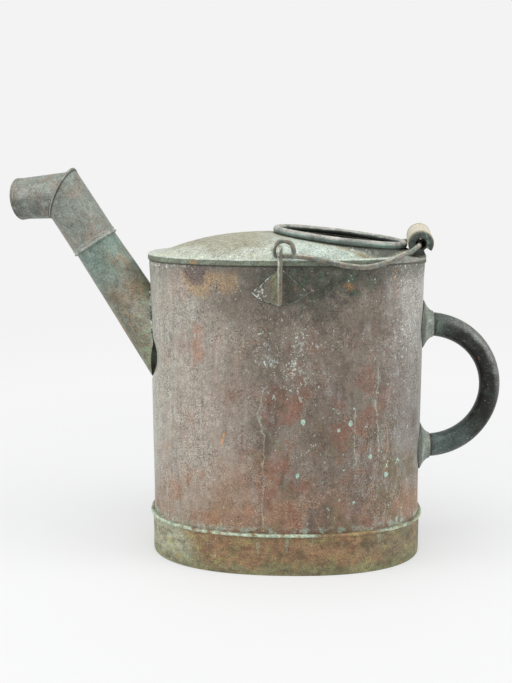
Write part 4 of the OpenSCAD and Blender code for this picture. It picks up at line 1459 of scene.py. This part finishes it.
# %% [markdown]
# ## Solder round the spout
# A bead of old solder fills the corner between the spout and the wall, except along the
# lower part, where it has let go. It is a lumpy rod laid along the curve where the two meet,
# which the spout's own functions give.

# %% Solder round the spout
solder_turns = between(math.radians(-98), math.radians(98), 90)
corner = [spout_place(q, spout_start(q), -0.3 * mm) for q in solder_turns]


def solder_size(share):
    lumps = 0.8 + 0.7 * ripple_at(share * 30, 2, 5)
    return 1.1 * mm * lumps * (0.35 + 0.65 * smooth(0, 0.1, share) * smooth(1, 0.9, share))


finished(along(corner, solder_size, 10), "spout_solder", "can", "hood_patina", solder)

# %% [markdown]
# ## Bail
# The bail is one length of thick wire. Each end is turned into an open eye that hangs on a
# lug, an arm sags along the rim, and a straight bar runs through the roller. A maker bends it
# in one piece, so it is swept in one piece too: a line of points, evened out and softened at
# its corners, with a rod along it.

# %% Softening a line


def softened(points, spacing, passes):
    """A line of points spaced evenly, with its corners rounded."""
    line, left = [points[0]], spacing
    for a, b in zip(points, points[1:]):
        length, done = (b - a).length, 0.0
        while length - done >= left:
            done += left
            line.append(a.lerp(b, done / length))
            left = spacing
        left -= length - done
    line.append(points[-1])
    for _ in range(passes):
        inner = [(a + 2 * b + c) / 4 for a, b, c in zip(line, line[1:], line[2:])]
        line = [line[0], *inner, line[-1]]
    return line


# %% Bail
eye_at = Vector((lug_x + 3.3 * mm, 0, lug_z - 2.9 * mm))
eye_r, arm_sag, arm_droop = 9.4 * mm, 12.9 * mm, 3.6 * mm
grip_r, grip_l, grip_bore = 12.6 * mm, 80 * mm, 5 * mm
ring_end = ring_at + Vector((ring_r * ct, 0, -ring_r * st))
reach, climb_angle = grip_r + ring_wire + 0.75 * mm, math.radians(16.3)
grip_at = ring_end + Vector((reach * math.cos(climb_angle), 0, reach * math.sin(climb_angle)))
grip_frame = (Matrix.Translation(grip_at) @ Matrix.Rotation(math.radians(-5.5), 4, "Z")
              @ Matrix.Rotation(math.radians(2), 4, "X") @ Matrix.Rotation(-math.pi / 2, 4, "X"))
bar_off = grip_bore - bail_r - 0.3 * mm
bar_lean = math.radians(135)


def bar_point(height):
    """A point of the bar, which lies low in the roller's hole."""
    return grip_frame @ Vector((*polar(bar_off, bar_lean), height))


def arm_points(side):
    """From the eye's free end round the lug, along the rim and down to the bar."""
    line = [Vector((10.6 * mm, side * (eye_y - 0.2 * mm), 317.8 * mm))]
    for q in between(math.radians(-24), math.radians(212), 40):
        line.append(eye_at + Vector((eye_r * math.cos(q), side * eye_y, eye_r * math.sin(q))))
    start, end = line[-1], bar_point(side * 44 * mm)
    for share in between(0.02, 1, 60):
        x = mixed(start.x, end.x, share)
        rim = max(oval_side(x, rim_t + bail_r + 2 * bail_gap), abs(end.y))
        y = mixed(mixed(start.y, side * rim, min(1, 8 * share)), end.y, share ** 18)
        sag = arm_sag * math.sin(math.pi * share ** 1.25) ** 2
        sag += arm_droop * smooth(0.4, 0.8, share) * smooth(1.0, 0.94, share)
        line.append(Vector((x, y, mixed(start.z, end.z, share) - sag)))
    return line


def bail_size(share):
    """The arms are a little stouter than the eyes and the bar."""
    arm = smooth(0.12, 0.18, share) * smooth(0.4, 0.34, share)
    arm += smooth(0.6, 0.66, share) * smooth(0.88, 0.82, share)
    return bail_r + (0.3 * arm - 0.02) * mm


bar = [bar_point(h * mm) for h in between(-42, 42, 15)]
bail = softened(arm_points(-1) + bar + arm_points(1)[::-1], 1.3 * mm, 4)
print("bail wire", round(sum((b - a).length for a, b in zip(bail, bail[1:])), 3), "m long")
finished(along(bail, bail_size, 16), "bail", "bail", "wire_patina", wire_patina, "bail_wire")

# %% [markdown]
# ## Roller
# The grip is a wooden roller turned on a lathe, with two fine grooves near each end, and
# bored for the bail's bar. Its end grain has gone dark and green, with painted shadow over the
# lower part of each end and painted shade in the bore, and a split opens the lower outer side.
#
# The finish works in the roller's own frame, as the spout's does: there the Z axis is the
# roller's, so that the grain can run along it.

# %% Old wood
old_wood, shader, place = new_finish("old wood")
own = along_frame(place, grip_frame)
across, down, length = axes(own)
fibres = own.clouds((0.0011, 0.0011, 0.022), 3, 4, 0.65)
coat = Coats(206, 202, 184)
coat(fibres.step(0.4, 0.64), 178, 166, 140)
coat(fibres.step(0.6, 0.7) * 0.7, 134, 120, 96)
grey = own.patches((0.006, 0.006, 0.02), 0.5, 0.66, 9)
coat(grey * 0.5, 176, 176, 162)
from_end = abs(length)
grooves = [abs(from_end - at).step(0.0011, 0.0005) for at in (0.0325, 0.035)]
lines = grooves[0].most(grooves[1]).most(from_end.step(0.0375, 0.0385) * 0.7)
coat(lines * 0.9, 112, 100, 80)
teal = own.patches((0.003, 0.003, 0.014), 0.58, 0.68, 15, 4, 0.65) * from_end.step(0.015, 0.036)
coat(teal * 0.6, 132, 158, 142)
ends = from_end.step(0.0388, 0.0397)
dirt = own.patches((0.004, 0.004, 0.002), 0.4, 0.6, 21, 4, 0.7)
end_coat = Coats(38, 48, 45)
end_coat(dirt, 74, 86, 79)
from_axis = reach_from(own, (0.0, 0.0, 0.0))
end_coat(from_axis.step(0.0095, 0.0125) * down.step(0.002, -0.008) * 0.7, 128, 122, 102)
crease = abs(across - 0.0062 - down * 0.15 + own.drift(0.004, 0.009, 29, 3, 0.7))
crease = crease.step(0.0013, 0.0005) * down.step(0.005, 0.003)
crease = crease * own.patches((0.002, 0.003, 0.002), 0.38, 0.56, 31, 3, 0.7)
end_coat(crease * 0.7, 126, 152, 144)
# Painted shadow over the lower part of each end face.
end_coat(down.step(0.0045, 0.0095) * 0.8, 24, 31, 29)
coat.colour = (ends * 0.95).tint(coat.colour, end_coat.colour)
# Painted shade in the bore and round its mouth.
coat(from_axis.step(0.0068, 0.0052) * 0.9, 38, 36, 30)
skin = 1.0 + (fibres - 0.5) * 0.5
lay_on(shader, coat, skin, fibres * -1.0, 0.78, 0.0)

# %% Roller
round_r, wear, half = 2 * mm, 0.12 * mm, grip_l / 2


def roller_point(turn, radius, z):
    worn = wear * ripple_at(*polar(2, turn), z * 40)
    r = radius - (wear - worn if radius > grip_bore + 2 * mm else 0.0)
    return Vector((*polar(r, turn), z))


profile = [(grip_bore, -half + 0.4 * mm), (grip_bore + 0.4 * mm, -half),
           (grip_r - 4 * mm, -half + 0.1 * mm)]
profile += [(grip_r - round_r + round_r * math.cos(q), -half + round_r + round_r * math.sin(q))
            for q in between(-math.pi / 2, 0, 6)]
for groove in (5.0 * mm, 7.5 * mm):
    at = groove - half
    profile += [(grip_r, at - 0.5 * mm), (grip_r - 0.35 * mm, at), (grip_r, at + 0.5 * mm)]
profile += [(grip_r, z) for z in between(-28 * mm, 0, 6)]
profile += [(r, -z) for r, z in reversed(profile[:-1])]
bm = shaped(turned(profile, 72), roller_point)

# %% Split in the roller
# The wedge that opens the split, as (distance from the axis in mm, angle in degrees).
wedge = [(7, 35), (27, 35), (27, 51), (27, 67), (7, 67), (6.7, 51)]
split = bmesh.new()
base = [split.verts.new((*polar(r * mm, math.radians(q)), -half - mm)) for r, q in wedge]
lifted = bmesh.ops.extrude_face_region(split, geom=[split.faces.new(base)])["geom"]
top_corners = [v for v in lifted if isinstance(v, bmesh.types.BMVert)]
bmesh.ops.translate(split, verts=top_corners, vec=(0, 0, grip_l + 2 * mm))
bm = carved(bm, split)
bmesh.ops.transform(bm, matrix=grip_frame, verts=bm.verts)
finished(bm, "roller", "grip", "weathered_wood", old_wood, "bail_grip", crease=40)
